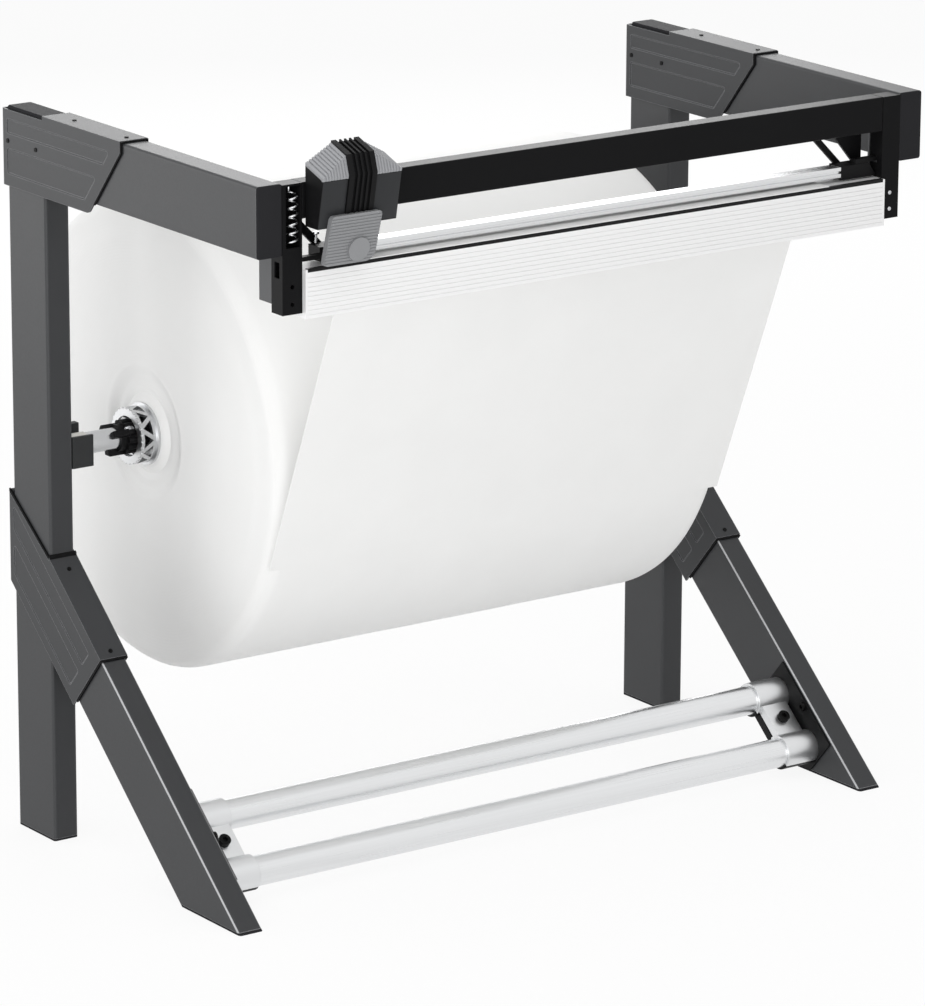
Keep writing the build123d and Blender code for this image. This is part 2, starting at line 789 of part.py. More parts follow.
# Slot in the outer cheek below the arm, and two holes for an accessory in the front wall
slot_middle = (bracket_back + arm_reach) / 2
slot_low = bracket_low + bracket_slot_low
bracket -= block(
    inner_face - bracket_wall,
    inner_face,
    slot_middle - bracket_slot_width / 2,
    slot_middle + bracket_slot_width / 2,
    slot_low,
    slot_low + bracket_slot_height,
)
bracket_middle = (bracket_inner + inner_face) / 2
for step in (0, 1):
    hole_height = bracket_low + accessory_hole_low + step * accessory_hole_pitch
    bracket -= rod_y(bracket_middle, hole_height, accessory_hole_radius, arm_reach - bracket_wall, arm_reach)

# Heights of the cutting unit
cut_edge = frame_height - cut_edge_drop
ledge_top = cut_edge - counter_blade_proud
rail_low = cut_edge + web_clearance + web_thickness + rail_lift
rail_high = rail_low + rail_height
rail_front = rail_place + rail_depth
lower_pivot = rail_low + link_pivot_height
upper_pivot = lower_pivot + link_drop
spring_seat = bracket_low + spring_low
left_spring_x = bracket_inner + bracket_wall + spring_gap + spring_radius + spring_wire / 2
left_spring_place = arm_reach - spring_front
right_spring_x = bracket_middle
right_spring_place = bracket_back + (bracket_depth - bracket_wall) / 2
press_travel = rail_lift - clamp_strip_height - web_clearance
link_length = math.hypot(link_run, link_drop)
press_angle = math.asin((link_drop + press_travel) / link_length) - math.asin(link_drop / link_length)
press_shift = link_run - link_length * math.cos(math.asin((link_drop + press_travel) / link_length))
print("rail press angle", round(math.degrees(press_angle), 3), "degrees, down", round(press_travel, 3))
print("rail press side shift", round(press_shift, 3))

# A finger of each rail block passes through the bracket's inner cheek to the spring
finger_room = press_shift + press_travel
left_finger_low = rail_low + 2
right_finger_low = spring_seat - finger_height


def finger_slot(place, low):
    """Room for a finger in the bracket's inner cheek, as far as the rail presses it down."""
    return block(
        bracket_inner,
        bracket_inner + bracket_wall,
        place - finger_rear - 1,
        place + finger_fore + 0.5,
        low - press_travel - 1,
        low + finger_height + 1,
    )


right_bracket = bracket - finger_slot(right_spring_place, right_finger_low)
left_bracket = bracket - finger_slot(left_spring_place, left_finger_low)
left_bracket -= block(
    bracket_inner + bracket_wall,
    inner_face - bracket_wall - bracket_window_edge,
    arm_reach - bracket_wall,
    arm_reach,
    bracket_low + bracket_window_low,
    bracket_top - bracket_wall,
)
left_bracket += block(
    bracket_inner + bracket_wall,
    inner_face - bracket_wall,
    bracket_back,
    bracket_back + bracket_back_wall,
    bracket_low,
    bracket_top - bracket_wall,
)
keep("right_bracket", right_bracket)
keep("left_bracket", other_side(left_bracket))

# Hanger plates below the arms, behind the brackets
hanger_front = bracket_back
hanger = block(
    inner_face - hanger_thickness,
    inner_face,
    hanger_front - hanger_depth,
    hanger_front,
    arm_low - hanger_drop,
    arm_low + hanger_overlap,
)
hanger_fold = block(
    inner_face - 3 * hanger_thickness,
    inner_face - hanger_thickness,
    hanger_front - hanger_depth,
    hanger_front - hanger_depth + hanger_thickness,
    arm_low - hanger_drop,
    arm_low + hanger_overlap,
)
hanger = hanger + hanger_fold
keep_pair("hanger_plate", hanger)

# Bolts of the brackets and the hanger plates
flat_bolt = socket_bolt(bracket_bolt_head_radius, bracket_bolt_head_height, bracket_bolt_socket, 0)
for z in (bracket_top - bracket_wall - 2 * bracket_bolt_head_radius, arm_low + 5 * bracket_bolt_head_radius):
    bolt_place = bracket_back + bracket_wall + bracket_bolt_head_radius
    seat = Plane((inner_face - bracket_wall, fwd(bolt_place), z), z_dir=(-1, 0, 0))
    bolts.append(seat * flat_bolt)
hanger_bolt_place = hanger_front - hanger_depth / 2
seat = Plane((inner_face - hanger_thickness, fwd(hanger_bolt_place), arm_low + hanger_overlap / 2), z_dir=(-1, 0, 0))
bolts.append(seat * flat_bolt)
keep("frame_bolts", *bolts, *[other_side(b) for b in bolts])

# Cross beam
beam_back = arm_reach - beam_depth
beam_low = bracket_top - beam_height
beam = block(-bracket_inner, bracket_inner, beam_back, arm_reach, beam_low, bracket_top)
beam = fillet(edges_along(beam, (1, 0, 0)), beam_wall)
beam = chamfer(beam.faces().filter_by(Axis.X).edges(), beam_end_chamfer)
beam -= block(
    -bracket_inner,
    bracket_inner,
    beam_back + beam_wall,
    arm_reach - beam_wall,
    beam_low + beam_wall,
    bracket_top - beam_wall,
)
keep("beam", beam)

# Cut plate: ribbed front wall, ledge and rear lip in one extrusion, with the counter blade in its edge
plate_front = arm_reach + cut_plate_proud
plate_low_edge = ledge_top - cut_plate_height
ledge_back = plate_front - cut_ledge_depth
wall_back = plate_front - cut_plate_wall
blade_seat = ledge_top - counter_blade_height
plate_outline = [(wall_back, plate_low_edge)]
rib_pitch = (blade_seat - plate_low_edge) / cut_rib_count
for rib in range(cut_rib_count):
    low = plate_low_edge + rib * rib_pitch
    plate_outline.append((plate_front, low))
    plate_outline.append((plate_front, low + rib_pitch - cut_rib_groove))
    plate_outline.append((plate_front - cut_rib_depth, low + rib_pitch - cut_rib_groove))
    plate_outline.append((plate_front - cut_rib_depth, low + rib_pitch))
plate_outline[-1] = (plate_front - counter_blade_width, blade_seat)
plate_outline[-2] = (plate_front, blade_seat)
plate_outline.pop(-3)
plate_outline += [
    (plate_front - counter_blade_width, ledge_top),
    (ledge_back, ledge_top),
    (ledge_back, ledge_top - cut_lip_height),
    (ledge_back + cut_ledge_thickness, ledge_top - cut_lip_height),
    (ledge_back + cut_ledge_thickness, ledge_top - cut_ledge_thickness),
    (wall_back, ledge_top - cut_ledge_thickness),
]
plate_end = bracket_inner - cut_plate_cap
cut_plate = side_prism(plate_outline, -plate_end, plate_end)
lip_edge = [
    e
    for e in edges_along(cut_plate, (1, 0, 0))
    if abs(e.center().Y - fwd(ledge_back)) < 0.1 and abs(e.center().Z - ledge_top) < 0.1
]
cut_plate = fillet(lip_edge, cut_lip_round)
keep("cut_plate", cut_plate)
plate_cap = block(plate_end, bracket_inner, ledge_back + cut_lip_round, plate_front, plate_low_edge, ledge_top)
keep("plate_end_caps", plate_cap, other_side(plate_cap))
keep(
    "counter_blade",
    block(-plate_end, plate_end, plate_front - counter_blade_width, plate_front, blade_seat, cut_edge),
)

# Web: off the roll on a tangent, round the ledge's rear edge and forward to the cutting edge
bend_centre = (ledge_back + cut_lip_round, ledge_top - cut_lip_round)
web_level = cut_edge + web_clearance + web_thickness / 2
bend_radius = web_level - bend_centre[1]
roll_line = roll_radius + web_clearance + web_thickness / 2
to_bend = (bend_centre[0] - axle_place, bend_centre[1] - axle_height)
web_angle = math.atan2(to_bend[1], to_bend[0])
web_angle += math.asin((roll_line + bend_radius) / math.hypot(*to_bend))
web_out = (math.sin(web_angle), -math.cos(web_angle))
web_half = web_thickness / 2
web_x = roll_end


def web_place(centre, radius):
    """Point at a signed distance from a centre along the web's outward normal."""
    return Vector(-web_x, fwd(centre[0] + radius * web_out[0]), centre[1] + radius * web_out[1])


def bend_arc(radius):
    """Bend round the ledge's rear edge, from the sloping run to the level one."""
    start_turn = math.atan2(-web_out[1], -web_out[0])
    mid_turn = (start_turn + math.pi / 2) / 2
    middle = (bend_centre[0] + radius * math.cos(mid_turn), bend_centre[1] + radius * math.sin(mid_turn))
    top = Vector(-web_x, fwd(bend_centre[0]), bend_centre[1] + radius)
    return ThreePointArc(web_place(bend_centre, -radius), Vector(-web_x, fwd(middle[0]), middle[1]), top), top


far_arc, far_top = bend_arc(bend_radius + web_half)
near_arc, near_top = bend_arc(bend_radius - web_half)
roll_side = web_place((axle_place, axle_height), roll_line - web_half)
front_side = web_place((axle_place, axle_height), roll_line + web_half)
edge_high = Vector(-web_x, fwd(plate_front), web_level + web_half)
edge_low = Vector(-web_x, fwd(plate_front), web_level - web_half)
web_lines = [
    Line(roll_side, web_place(bend_centre, -bend_radius - web_half)),
    far_arc,
    Line(far_top, edge_high),
    Line(edge_high, edge_low),
    Line(edge_low, near_top),
    near_arc,
    Line(web_place(bend_centre, web_half - bend_radius), front_side),
    Line(front_side, roll_side),
]
web = extrude(make_face(Curve() + web_lines), amount=2 * roll_end, dir=(1, 0, 0))
keep("web", web)
free_run = (web_place(bend_centre, -bend_radius) - web_place((axle_place, axle_height), roll_line)).length
bend_turn = math.atan2(-web_out[1], -web_out[0]) - math.pi / 2
web_length = free_run + bend_radius * bend_turn + plate_front - bend_centre[0]
print("web flat size", round(2 * roll_end, 1), "by", round(web_length, 1))

# Rail with a groove along each side, and the soft strip below it
groove_low = rail_low + (rail_height - rail_groove) / 2
groove_high = groove_low + rail_groove
rail_outline = [
    (rail_place, rail_low),
    (rail_place, groove_low),
    (rail_place + rail_groove_depth, groove_low),
    (rail_place + rail_groove_depth, groove_high),
    (rail_place, groove_high),
    (rail_place, rail_high),
    (rail_front, rail_high),
    (rail_front, groove_high),
    (rail_front - rail_groove_depth, groove_high),
    (rail_front - rail_groove_depth, groove_low),
    (rail_front, groove_low),
    (rail_front, rail_low),
]
rail_start = -rail_left_end + left_block_length
rail_end = rail_right_end - right_block_length
keep("rail", side_prism(rail_outline, rail_start - block_socket, rail_end + block_socket))
rail_middle = rail_place + rail_depth / 2
keep(
    "clamp_strip",
    block(
        rail_start,
        rail_end,
        rail_middle - clamp_strip_depth / 2,
        rail_middle + clamp_strip_depth / 2,
        rail_low - clamp_strip_height,
        rail_low,
    ),
)

# Pivots: the upper ones behind the beam, the lower ones on the rail blocks
left_pivot_x = -rail_left_end + left_block_length - link_inset
right_outer_x = rail_right_end - link_inset
right_inner_x = right_outer_x - link_spacing
link_back = beam_back - pivot_plate_thickness - link_gap - link_thickness
link_front = link_back + link_thickness
block_back = link_front + link_gap
block_front = max(block_back + block_depth, rail_front + saddle_clearance)
block_low = rail_low - block_drop
block_top = block_low + block_height


def with_pin(solid, x, z, d_from, d_to):
    """Add a pivot pin with a head at its rear end."""
    solid += rod_y(x, z, pin_radius, d_to, d_from)
    return solid + rod_y(x, z, pin_head_radius, d_to - pin_head, d_to)


pin_tail = link_back - link_gap
right_block_outline = [
    (rail_end, block_low),
    (rail_right_end, block_low),
    (rail_right_end, block_low + finger_height / 2),
    (rail_right_end - block_slope, block_top),
    (rail_end, block_top),
]
right_block = front_prism(right_block_outline, block_back, block_front)
left_block = block(
    -rail_left_end, -rail_left_end + left_block_length, block_back, block_front, block_low, block_top
)
rail_room = side_prism(rail_outline, rail_start - block_socket, rail_end + block_socket)
finger_end = bracket_middle + finger_width / 2


def finger(side, start, place, low):
    """Finger from a rail block into the bracket, with an upright seat for the spring."""
    seat_low = min(low, spring_seat - finger_height)
    back, front = place - finger_rear, place + finger_fore
    reach = block(side * start, side * finger_end, back, front, low, low + finger_height)
    inner = bracket_inner + bracket_wall + finger_room
    return reach + block(side * inner, side * finger_end, back, front, seat_low, spring_seat)


right_block += block(
    rail_right_end - 3 * block_slope,
    rail_right_end - block_slope,
    right_spring_place - finger_rear,
    right_spring_place + finger_fore,
    block_low,
    spring_seat,
)
right_block += finger(1, rail_right_end - 2 * block_slope, right_spring_place, right_finger_low)
left_block += finger(-1, rail_left_end - 1, left_spring_place, left_finger_low)
right_block -= rail_room
left_block -= rail_room
for x in (right_inner_x, right_outer_x):
    right_block = with_pin(right_block, x, lower_pivot, block_back, pin_tail)
left_block = with_pin(left_block, left_pivot_x, lower_pivot, block_back, pin_tail)
keep("right_rail_block", right_block)
keep("left_rail_block", left_block)


def pivot_plate(lowest, highest, pins):
    """Plate on the beam's rear face that carries upper pivot pins."""
    plate = block(
        lowest - pivot_plate_margin,
        highest + pivot_plate_margin,
        beam_back - pivot_plate_thickness,
        beam_back,
        upper_pivot - pivot_plate_margin,
        upper_pivot - pivot_plate_margin + pivot_plate_height,
    )
    for x in pins:
        plate = with_pin(plate, x, upper_pivot, beam_back - pivot_plate_thickness, pin_tail)
    return plate


left_upper_x = left_pivot_x - link_run
right_upper = [right_inner_x - link_run, right_outer_x - link_run]
left_plate = pivot_plate(left_upper_x, left_upper_x + link_spacing, [left_upper_x])
right_plate = pivot_plate(right_upper[0], right_upper[1], right_upper)
keep("pivot_plates", left_plate, right_plate)


def link(x, width, lower_clearance):
    """Flat link from an upper pivot to the pivot at the rail, round at both ends."""
    direction = Vector(link_run, 0, -link_drop).normalized()
    across = Vector(direction.Z, 0, -direction.X) * (width / 2)
    top = Vector(x - link_run, 0, upper_pivot)
    low = Vector(x, 0, lower_pivot)
    corners = [top + across, low + across, low - across, top - across]
    flat = front_prism([(c.X, c.Z) for c in corners], link_back, link_front)
    for pivot in (top, low):
        flat += rod_y(pivot.X, pivot.Z, width / 2, link_back, link_front)
    flat -= rod_y(top.X, top.Z, pin_radius + running_clearance, link_back, link_front)
    return flat - rod_y(low.X, low.Z, pin_radius + lower_clearance, link_back, link_front)


keep("left_link", link(left_pivot_x, link_width + 2, running_clearance))
keep("right_inner_link", link(right_inner_x, link_width, open_pivot_clearance))

# The right outer link is a broad rocker plate
rocker_x = right_outer_x - link_run
rocker_outline = [
    (rocker_x - rocker_edge, upper_pivot - rocker_edge / 2),
    (rocker_x - rocker_edge, upper_pivot + rocker_edge),
    (right_outer_x + rocker_side, upper_pivot + rocker_edge),
    (right_outer_x + rocker_side, lower_pivot - rocker_edge),
    (right_outer_x - rocker_edge, lower_pivot - rocker_edge),
    (right_outer_x - rocker_edge, lower_pivot + rocker_edge / 2),
    (rocker_x + link_run / 4, upper_pivot - link_drop / 5),
]
rocker = front_prism(rocker_outline, link_back, link_front)
rocker -= rod_y(rocker_x, upper_pivot, pin_radius + running_clearance, link_back, link_front)
rocker -= rod_y(right_outer_x, lower_pivot, pin_radius + open_pivot_clearance, link_back, link_front)
keep("right_outer_link", rocker)


# Return springs between the brackets' tops and the fingers
def biarc(p0, t0, p1, t1):
    """Two arcs of equal tangent length that join two points with given directions."""
    v = p1 - p0
    t = t0 + t1
    bend = t.dot(t) - 4
    reach = (v.dot(t) - math.sqrt(v.dot(t) ** 2 - bend * v.dot(v))) / bend
    q0 = p0 + t0 * reach
    q1 = p1 - t1 * reach
    join = (q0 + q1) * 0.5
    return [Edge.make_tangent_arc(p0, t0, join), Edge.make_tangent_arc(join, (q1 - q0).normalized(), p1)]


def spring(x, place, low, high):
    """Coil spring on quarter-turn biarcs, with a straight upright lead at each end."""
    coil_low = low + spring_lead + spring_hook
    coil_high = high - spring_lead - spring_hook
    rise = (coil_high - coil_low) / spring_turns
    climb = rise / (2 * math.pi * spring_radius)
    up = Vector(0, 0, 1)

    def helix(turn):
        angle = 2 * math.pi * turn + math.pi
        ring = Vector(math.cos(angle), math.sin(angle), 0)
        point = Vector(x, fwd(place), coil_low + turn * rise) + ring * spring_radius
        return point, Vector(-math.sin(angle), math.cos(angle), climb).normalized()

    steps = [helix(quarter / 4) for quarter in range(4 * spring_turns + 1)]
    first, first_way = steps[0]
    last, last_way = steps[-1]
    hook_low = first - Vector(0, -spring_hook, spring_hook)
    hook_high = last + Vector(0, -spring_hook, spring_hook)
    edges = [Edge.make_line(hook_low - up * spring_lead, hook_low)]
    edges += biarc(hook_low, up, first, first_way)
    for (p0, t0), (p1, t1) in zip(steps, steps[1:]):
        edges += biarc(p0, t0, p1, t1)
    edges += biarc(last, last_way, hook_high, up)
    edges.append(Edge.make_line(hook_high, hook_high + up * spring_lead))
    path = Wire(edges)
    section = Plane(origin=path @ 0, z_dir=path % 0) * Circle(spring_wire / 2)
    points = [path @ (n / 900) for n in range(901)]
    apart = math.ceil(900 / (2 * spring_turns))
    gaps = [(a - b).length for i, a in enumerate(points) for b in points[i + apart :]]
    print("spring least gap to itself", round(min(gaps) - spring_wire, 3))
    return sweep(section, path=path)


spring_top = bracket_top - bracket_wall
keep("right_spring", spring(right_spring_x, right_spring_place, spring_seat, spring_top))
keep("left_spring", spring(-left_spring_x, left_spring_place, spring_seat, spring_top))

# Knife carriage: body with a hipped roof that slopes to the front
body_low = bracket_top - carriage_bottom_drop + 2
eave_front = frame_height + carriage_front_drop
eave_back = eave_front + carriage_roof_slope
half_body = carriage_width / 2
half_band = band_width / 2


def roof_section(d, low, eave, drop):
    """Outline of the carriage across its width, its roof lowered by a drop."""
    points = [
        (-half_body, low),
        (half_body, low),
        (half_body, eave - drop),
        (half_band, eave + carriage_roof_rise - drop),
        (-half_band, eave + carriage_roof_rise - drop),
        (-half_body, eave - drop),
    ]
    return Polyline(*[(carriage_place + x, fwd(d), z) for x, z in points], close=True)


def roof_block(low, drop):
    """Block with the hipped roof, from the carriage's back to its front."""
    back = make_face(roof_section(carriage_back, low, eave_back, drop))
    front = make_face(roof_section(carriage_front, low, eave_front, drop))
    return loft([back, front], ruled=True)


def front_plane(z):
    """Distance forward of the carriage's leaning front at a height."""
    return carriage_front - carriage_lean * (eave_front - z) / (eave_front - body_low)


lean_outline = [
    (front_plane(body_low - housing_height), body_low - housing_height),
    (carriage_front, eave_front),
    (carriage_front + carriage_depth, eave_front),
    (carriage_front + carriage_depth, body_low - housing_height),
]
lean_cut = side_prism(lean_outline, carriage_place - carriage_width, carriage_place + carriage_width)
roof_tilt = carriage_roof_slope / carriage_depth


def hip_point(rise):
    """(forward, height) where the roof at a rise above its eave meets the hip at the front."""
    back = carriage_hip * rise / carriage_roof_rise
    return (carriage_front - back, eave_front + rise + back * roof_tilt)


def hip_cut(inset):
    """Room in front of the roof's hip, moved back by an inset."""
    top = hip_point(2 * carriage_roof_rise)
    outline = [
        (carriage_front - inset, body_low),
        (carriage_front - inset, eave_front),
        (top[0] - inset, top[1]),
        (carriage_front + carriage_depth, top[1]),
        (carriage_front + carriage_depth, body_low),
    ]
    return side_prism(outline, carriage_place - carriage_width, carriage_place + carriage_width)


def moved_line(points, amount):
    """Line of (forward, height) points moved out of the carriage's skin, its two ends kept flush."""
    ways = []
    for (d0, z0), (d1, z1) in zip(points, points[1:]):
        length = math.hypot(d1 - d0, z1 - z0)
        ways.append(((d1 - d0) / length, (z1 - z0) / length))
    first, last = ways[0], ways[-1]
    moved = [(points[0][0], points[0][1] + amount / first[0])]
    for point, before, after in zip(points[1:], ways, ways[1:]):
        share = amount / (1 + before[0] * after[0] + before[1] * after[1])
        moved.append((point[0] - share * (before[1] + after[1]), point[1] + share * (before[0] + after[0])))
    moved.append((points[-1][0] - amount / last[1], points[-1][1]))
    return moved


shape = roof_block(body_low, 0) - lean_cut - hip_cut(0)
grip_floor = roof_block(body_low, grip_thickness) - hip_cut(grip_thickness)
band_line = [
    (carriage_back, eave_back + carriage_roof_rise),
    hip_point(carriage_roof_rise),
    (carriage_front, eave_front),
    (front_plane(body_low + band_low), body_low + band_low),
]


def band_strip(start, end, x0, x1):
    """Strip over the roof and down the front, between two offsets out of the carriage's skin."""
    return side_prism(moved_line(band_line, end) + moved_line(band_line, start)[::-1], x0, x1)


band = band_strip(band_proud - band_thickness, band_proud, carriage_place - half_band, carriage_place + half_band)
band &= block(
    carriage_place - half_band, carriage_place + half_band, carriage_back, front_reach, body_low, 2 * eave_back
)
rib_step = (band_width - band_groove) / band_ribs
band_room = band
for rib in range(1, band_ribs):
    middle = carriage_place - half_band + band_groove / 2 + rib * rib_step
    band -= band_strip(
        band_proud - band_groove_depth, band_proud, middle - band_groove / 2, middle + band_groove / 2
    )
keep("carriage_band", band)

# Ribbed grips on the two flanks of the roof, with grooves that run to the front
grips = []
for side in (-1, 1):
    x_in = carriage_place + side * half_band
    x_out = carriage_place + side * half_body
    flank = (shape - grip_floor) & block(
        x_in, x_out, carriage_back, carriage_front + carriage_depth, eave_front - grip_thickness, 2 * eave_back
    )
    pitch = (half_body - half_band) / (grip_grooves + 1)
    for groove in range(1, grip_grooves + 1):
        x = x_in + side * groove * pitch
        rise = carriage_roof_rise * (1 - groove / (grip_grooves + 1))
        skin_line = [(carriage_back, eave_back + rise), hip_point(rise), (carriage_front, eave_front)]
        cut_outline = moved_line(skin_line, -grip_groove_depth)
        cut_outline += [
            (cut_outline[-1][0], eave_front - grip_thickness),
            (carriage_front + carriage_depth, eave_front - grip_thickness),
            (carriage_front + carriage_depth, 2 * eave_back),
            (carriage_back, 2 * eave_back),
        ]
        flank -= side_prism(cut_outline, x - grip_groove / 2, x + grip_groove / 2)
    grips.append(max(flank.solids(), key=lambda s: s.volume))
keep("carriage_grips", *grips)

# Body, with a neck below the beam and a saddle on the rail
neck_start = rail_start + neck_side_gap
neck_right = neck_start + neck_width
neck_high = beam_low - neck_gap
neck_low = neck_high - neck_height
saddle_back = rail_place - saddle_clearance - saddle_wall
saddle_front = rail_front + saddle_clearance + saddle_wall
body = shape - band_room
for grip_side in (-1, 1):
    x_in = carriage_place + grip_side * half_band
    x_out = carriage_place + grip_side * half_body
    body -= (shape - grip_floor) & block(
        x_in, x_out, carriage_back, carriage_front + carriage_depth, eave_front - grip_thickness, 2 * eave_back
    )
body += block(neck_start, neck_right, saddle_back, front_plane(neck_low), neck_low, neck_high)
body += block(neck_start, neck_right, saddle_back, saddle_front, rail_low, neck_low)
body -= block(
    neck_start,
    neck_right,
    rail_place - saddle_clearance,
    rail_front + saddle_clearance,
    rail_low,
    rail_high + saddle_clearance,
)
lip_low = groove_low + saddle_clearance
lip_high = groove_high - saddle_clearance
body += block(
    neck_start, neck_right, rail_place - saddle_clearance, rail_place - saddle_clearance + saddle_lip, lip_low, lip_high
)
body += block(
    neck_start, neck_right, rail_front + saddle_clearance - saddle_lip, rail_front + saddle_clearance, lip_low, lip_high
)

# Blade housing on the leaning front, with a round boss over the blade
housing_x = carriage_place - housing_shift
housing_high = body_low + housing_top
housing_low = housing_high - housing_height
housing_outline = [
    (housing_x - housing_width / 2 - housing_shear, housing_low),
    (housing_x + housing_width / 2 - housing_shear, housing_low),
    (housing_x + housing_width / 2, housing_high),
    (housing_x - housing_width / 2, housing_high),
]
housing = front_prism(housing_outline, carriage_back, carriage_front + carriage_depth)
upright_edges = edges_along(housing, (0, 1, 0))
other_corners = [e for e in upright_edges if e.center().X < housing_x or e.center().Z > housing_high - 1]
housing = fillet(other_corners, housing_corner)
low_right = [
    e
    for e in edges_along(housing, (0, 1, 0))
    if e.center().X > housing_x and abs(e.center().Z - housing_low) < 0.1
]
housing = fillet(low_right, housing_corner_large)


def lean_slab(start, end):
    """Slab between two offsets out of the carriage's leaning front."""
    low, high = housing_low - housing_height, housing_high + housing_height
    outline = [
        (front_plane(low) + start, low),
        (front_plane(low) + end, low),
        (front_plane(high) + end, high),
        (front_plane(high) + start, high),
    ]
    return side_prism(outline, carriage_place - carriage_width, carriage_place + carriage_width)


blade_back = plate_front + blade_gap
blade_front = blade_back + blade_thickness
blade_height = cut_edge + blade_lift + blade_radius
boss_room = rod_y(carriage_place, blade_height, housing_boss_radius, carriage_back, carriage_front + carriage_depth)
case = housing & lean_slab(0, housing_thickness)
groove_pitch = housing_height / (housing_grooves + 1)
for groove in range(1, housing_grooves + 1):
    z = housing_low + groove * groove_pitch
    strip = block(
        carriage_place - carriage_width,
        carriage_place + carriage_width,
        carriage_back,
        carriage_front + carriage_depth,
        z - housing_groove / 2,
        z + housing_groove / 2,
    )
    case -= (strip & lean_slab(housing_thickness - housing_groove_depth, housing_thickness)) - boss_room
case += boss_room & lean_slab(housing_thickness, housing_thickness + housing_boss_height)
case -= shape
case -= rod_y(carriage_place, blade_height, blade_bore + running_clearance, carriage_back, front_plane(blade_height) + axle_nut)
keep("blade_housing", case)
body -= case
keep("carriage_body", body)

# Rotary blade on its axle
blade = rod_y(carriage_place, blade_height, blade_radius, blade_back, blade_front)
blade = chamfer(blade.edges().filter_by(GeomType.CIRCLE), blade_thickness * 0.45)
blade -= rod_y(carriage_place, blade_height, blade_bore + running_clearance, blade_back, blade_front)
keep("blade", blade)
axle_end = front_plane(blade_height) + axle_nut
axle = rod_y(carriage_place, blade_height, blade_bore, blade_back, axle_end)
axle += rod_y(carriage_place, blade_height, axle_collar_radius, blade_front + running_clearance, blade_front + axle_collar)
keep("blade_axle", axle)

print("carriage travel to the right block", round(rail_end - neck_right, 2))
print("accessory holes at x", bracket_middle, "y", fwd(arm_reach), "z", bracket_low + accessory_hole_low)
print("left link upper pivot", left_upper_x, fwd(link_back + link_thickness / 2), upper_pivot)
print("left link lower pivot", left_pivot_x, lower_pivot)
print("right upper pivots", right_upper)
print("roll axis y", fwd(axle_place), "z", axle_height)
print("blade axis x", carriage_place, "z", blade_height)
print("spring fixed end z", spring_top)
print("nodes", len(made))
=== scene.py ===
# %% [markdown]
# # A roll cutting stand in Blender
# The stand carries a wide roll of white foam on a shaft and cuts sheets off it with a sliding knife.
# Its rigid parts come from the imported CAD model, so they already have their size and place.
# This lesson sets the camera, gives every part the finish of the real material, models the soft foam
# again as a soft thing, adds a few small pieces, and lights the stand like a studio product.

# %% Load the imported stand
import math
import random

import bmesh
import bpy
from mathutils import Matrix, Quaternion, Vector


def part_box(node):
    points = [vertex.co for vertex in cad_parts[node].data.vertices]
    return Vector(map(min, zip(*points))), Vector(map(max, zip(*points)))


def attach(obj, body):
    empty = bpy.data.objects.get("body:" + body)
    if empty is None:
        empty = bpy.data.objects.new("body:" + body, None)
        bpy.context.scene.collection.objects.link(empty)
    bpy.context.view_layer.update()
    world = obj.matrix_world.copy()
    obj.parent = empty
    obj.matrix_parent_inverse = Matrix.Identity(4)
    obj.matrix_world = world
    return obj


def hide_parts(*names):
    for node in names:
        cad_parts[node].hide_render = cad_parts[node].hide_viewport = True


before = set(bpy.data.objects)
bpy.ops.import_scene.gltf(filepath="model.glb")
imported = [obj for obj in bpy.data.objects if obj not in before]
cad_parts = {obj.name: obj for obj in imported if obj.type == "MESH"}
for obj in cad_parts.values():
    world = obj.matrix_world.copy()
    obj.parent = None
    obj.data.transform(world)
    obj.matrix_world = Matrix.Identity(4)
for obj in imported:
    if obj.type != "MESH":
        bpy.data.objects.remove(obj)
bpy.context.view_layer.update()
bpy.ops.object.select_all(action="DESELECT")

# %% [markdown]
# ## Camera
# The picture was taken with a long lens from the left, in front and a little above the stand.
# A camera can be aimed with a constraint, but its place and angles are known here, so they are set
# directly. The lens is worked out from its focal length in pixels and the picture's height.

# %% Camera
picture_height = 1006
focal_pixels = 5740.0
sensor_width = 36.0
camera_place = (-4.689, -6.6836, 2.7387)
camera_turn = math.radians(-35.47)
camera_tilt = math.radians(15.68)
camera_lean = math.radians(0.26)
bpy.ops.object.camera_add(location=camera_place)
camera = bpy.context.object
camera.name = "studio_camera"
camera.data.sensor_width = sensor_width
camera.data.lens = focal_pixels / picture_height * sensor_width
level = math.cos(camera_tilt)
back = Vector((math.sin(camera_turn) * level, -math.cos(camera_turn) * level, math.sin(camera_tilt)))
camera.rotation_mode = "QUATERNION"
camera.rotation_quaternion = (-back).to_track_quat("-Z", "Y") @ Quaternion((0, 0, 1), camera_lean)
bpy.context.scene.camera = camera
bpy.context.scene.view_settings.view_transform = "Standard"
print("lens", round(camera.data.lens, 1), "mm")

# %% [markdown]
# ## Tools for the finishes
# Colours are written as they look on a screen, in sRGB, and Blender's shaders want them linear.
# One function turns them over, and one adds a node with its settings, values and links. All patterns
# read Object coordinates, which are metres here, so a pattern's scale is one over its real size.
# Two more functions start a material and dress its surface: a pattern changes the gloss and the
# height, and a small round at the edges, read from the neighbouring faces, catches the light as a
# real edge does.

# %% Colour and node helpers
def linear(hex_colour):
    """Linear red, green, blue and alpha of an sRGB colour such as #808080."""
    shares = [int(hex_colour[i : i + 2], 16) / 255 for i in (1, 3, 5)]
    return tuple(s / 12.92 if s <= 0.04045 else ((s + 0.055) / 1.055) ** 2.4 for s in shares) + (1.0,)


def add_node(tree, kind, inputs=None, **settings):
    """Add a node. Settings go on the node, and inputs into its sockets, as values or as links."""
    node = tree.nodes.new(kind)
    for name, value in settings.items():
        setattr(node, name, value)
    for name, value in (inputs or {}).items():
        if isinstance(value, bpy.types.NodeSocket):
            tree.links.new(value, node.inputs[name])
        else:
            node.inputs[name].default_value = value
    return node


def per_metre(millimetres):
    """Scale of a pattern whose marks are so many millimetres apart."""
    return 1000 / millimetres


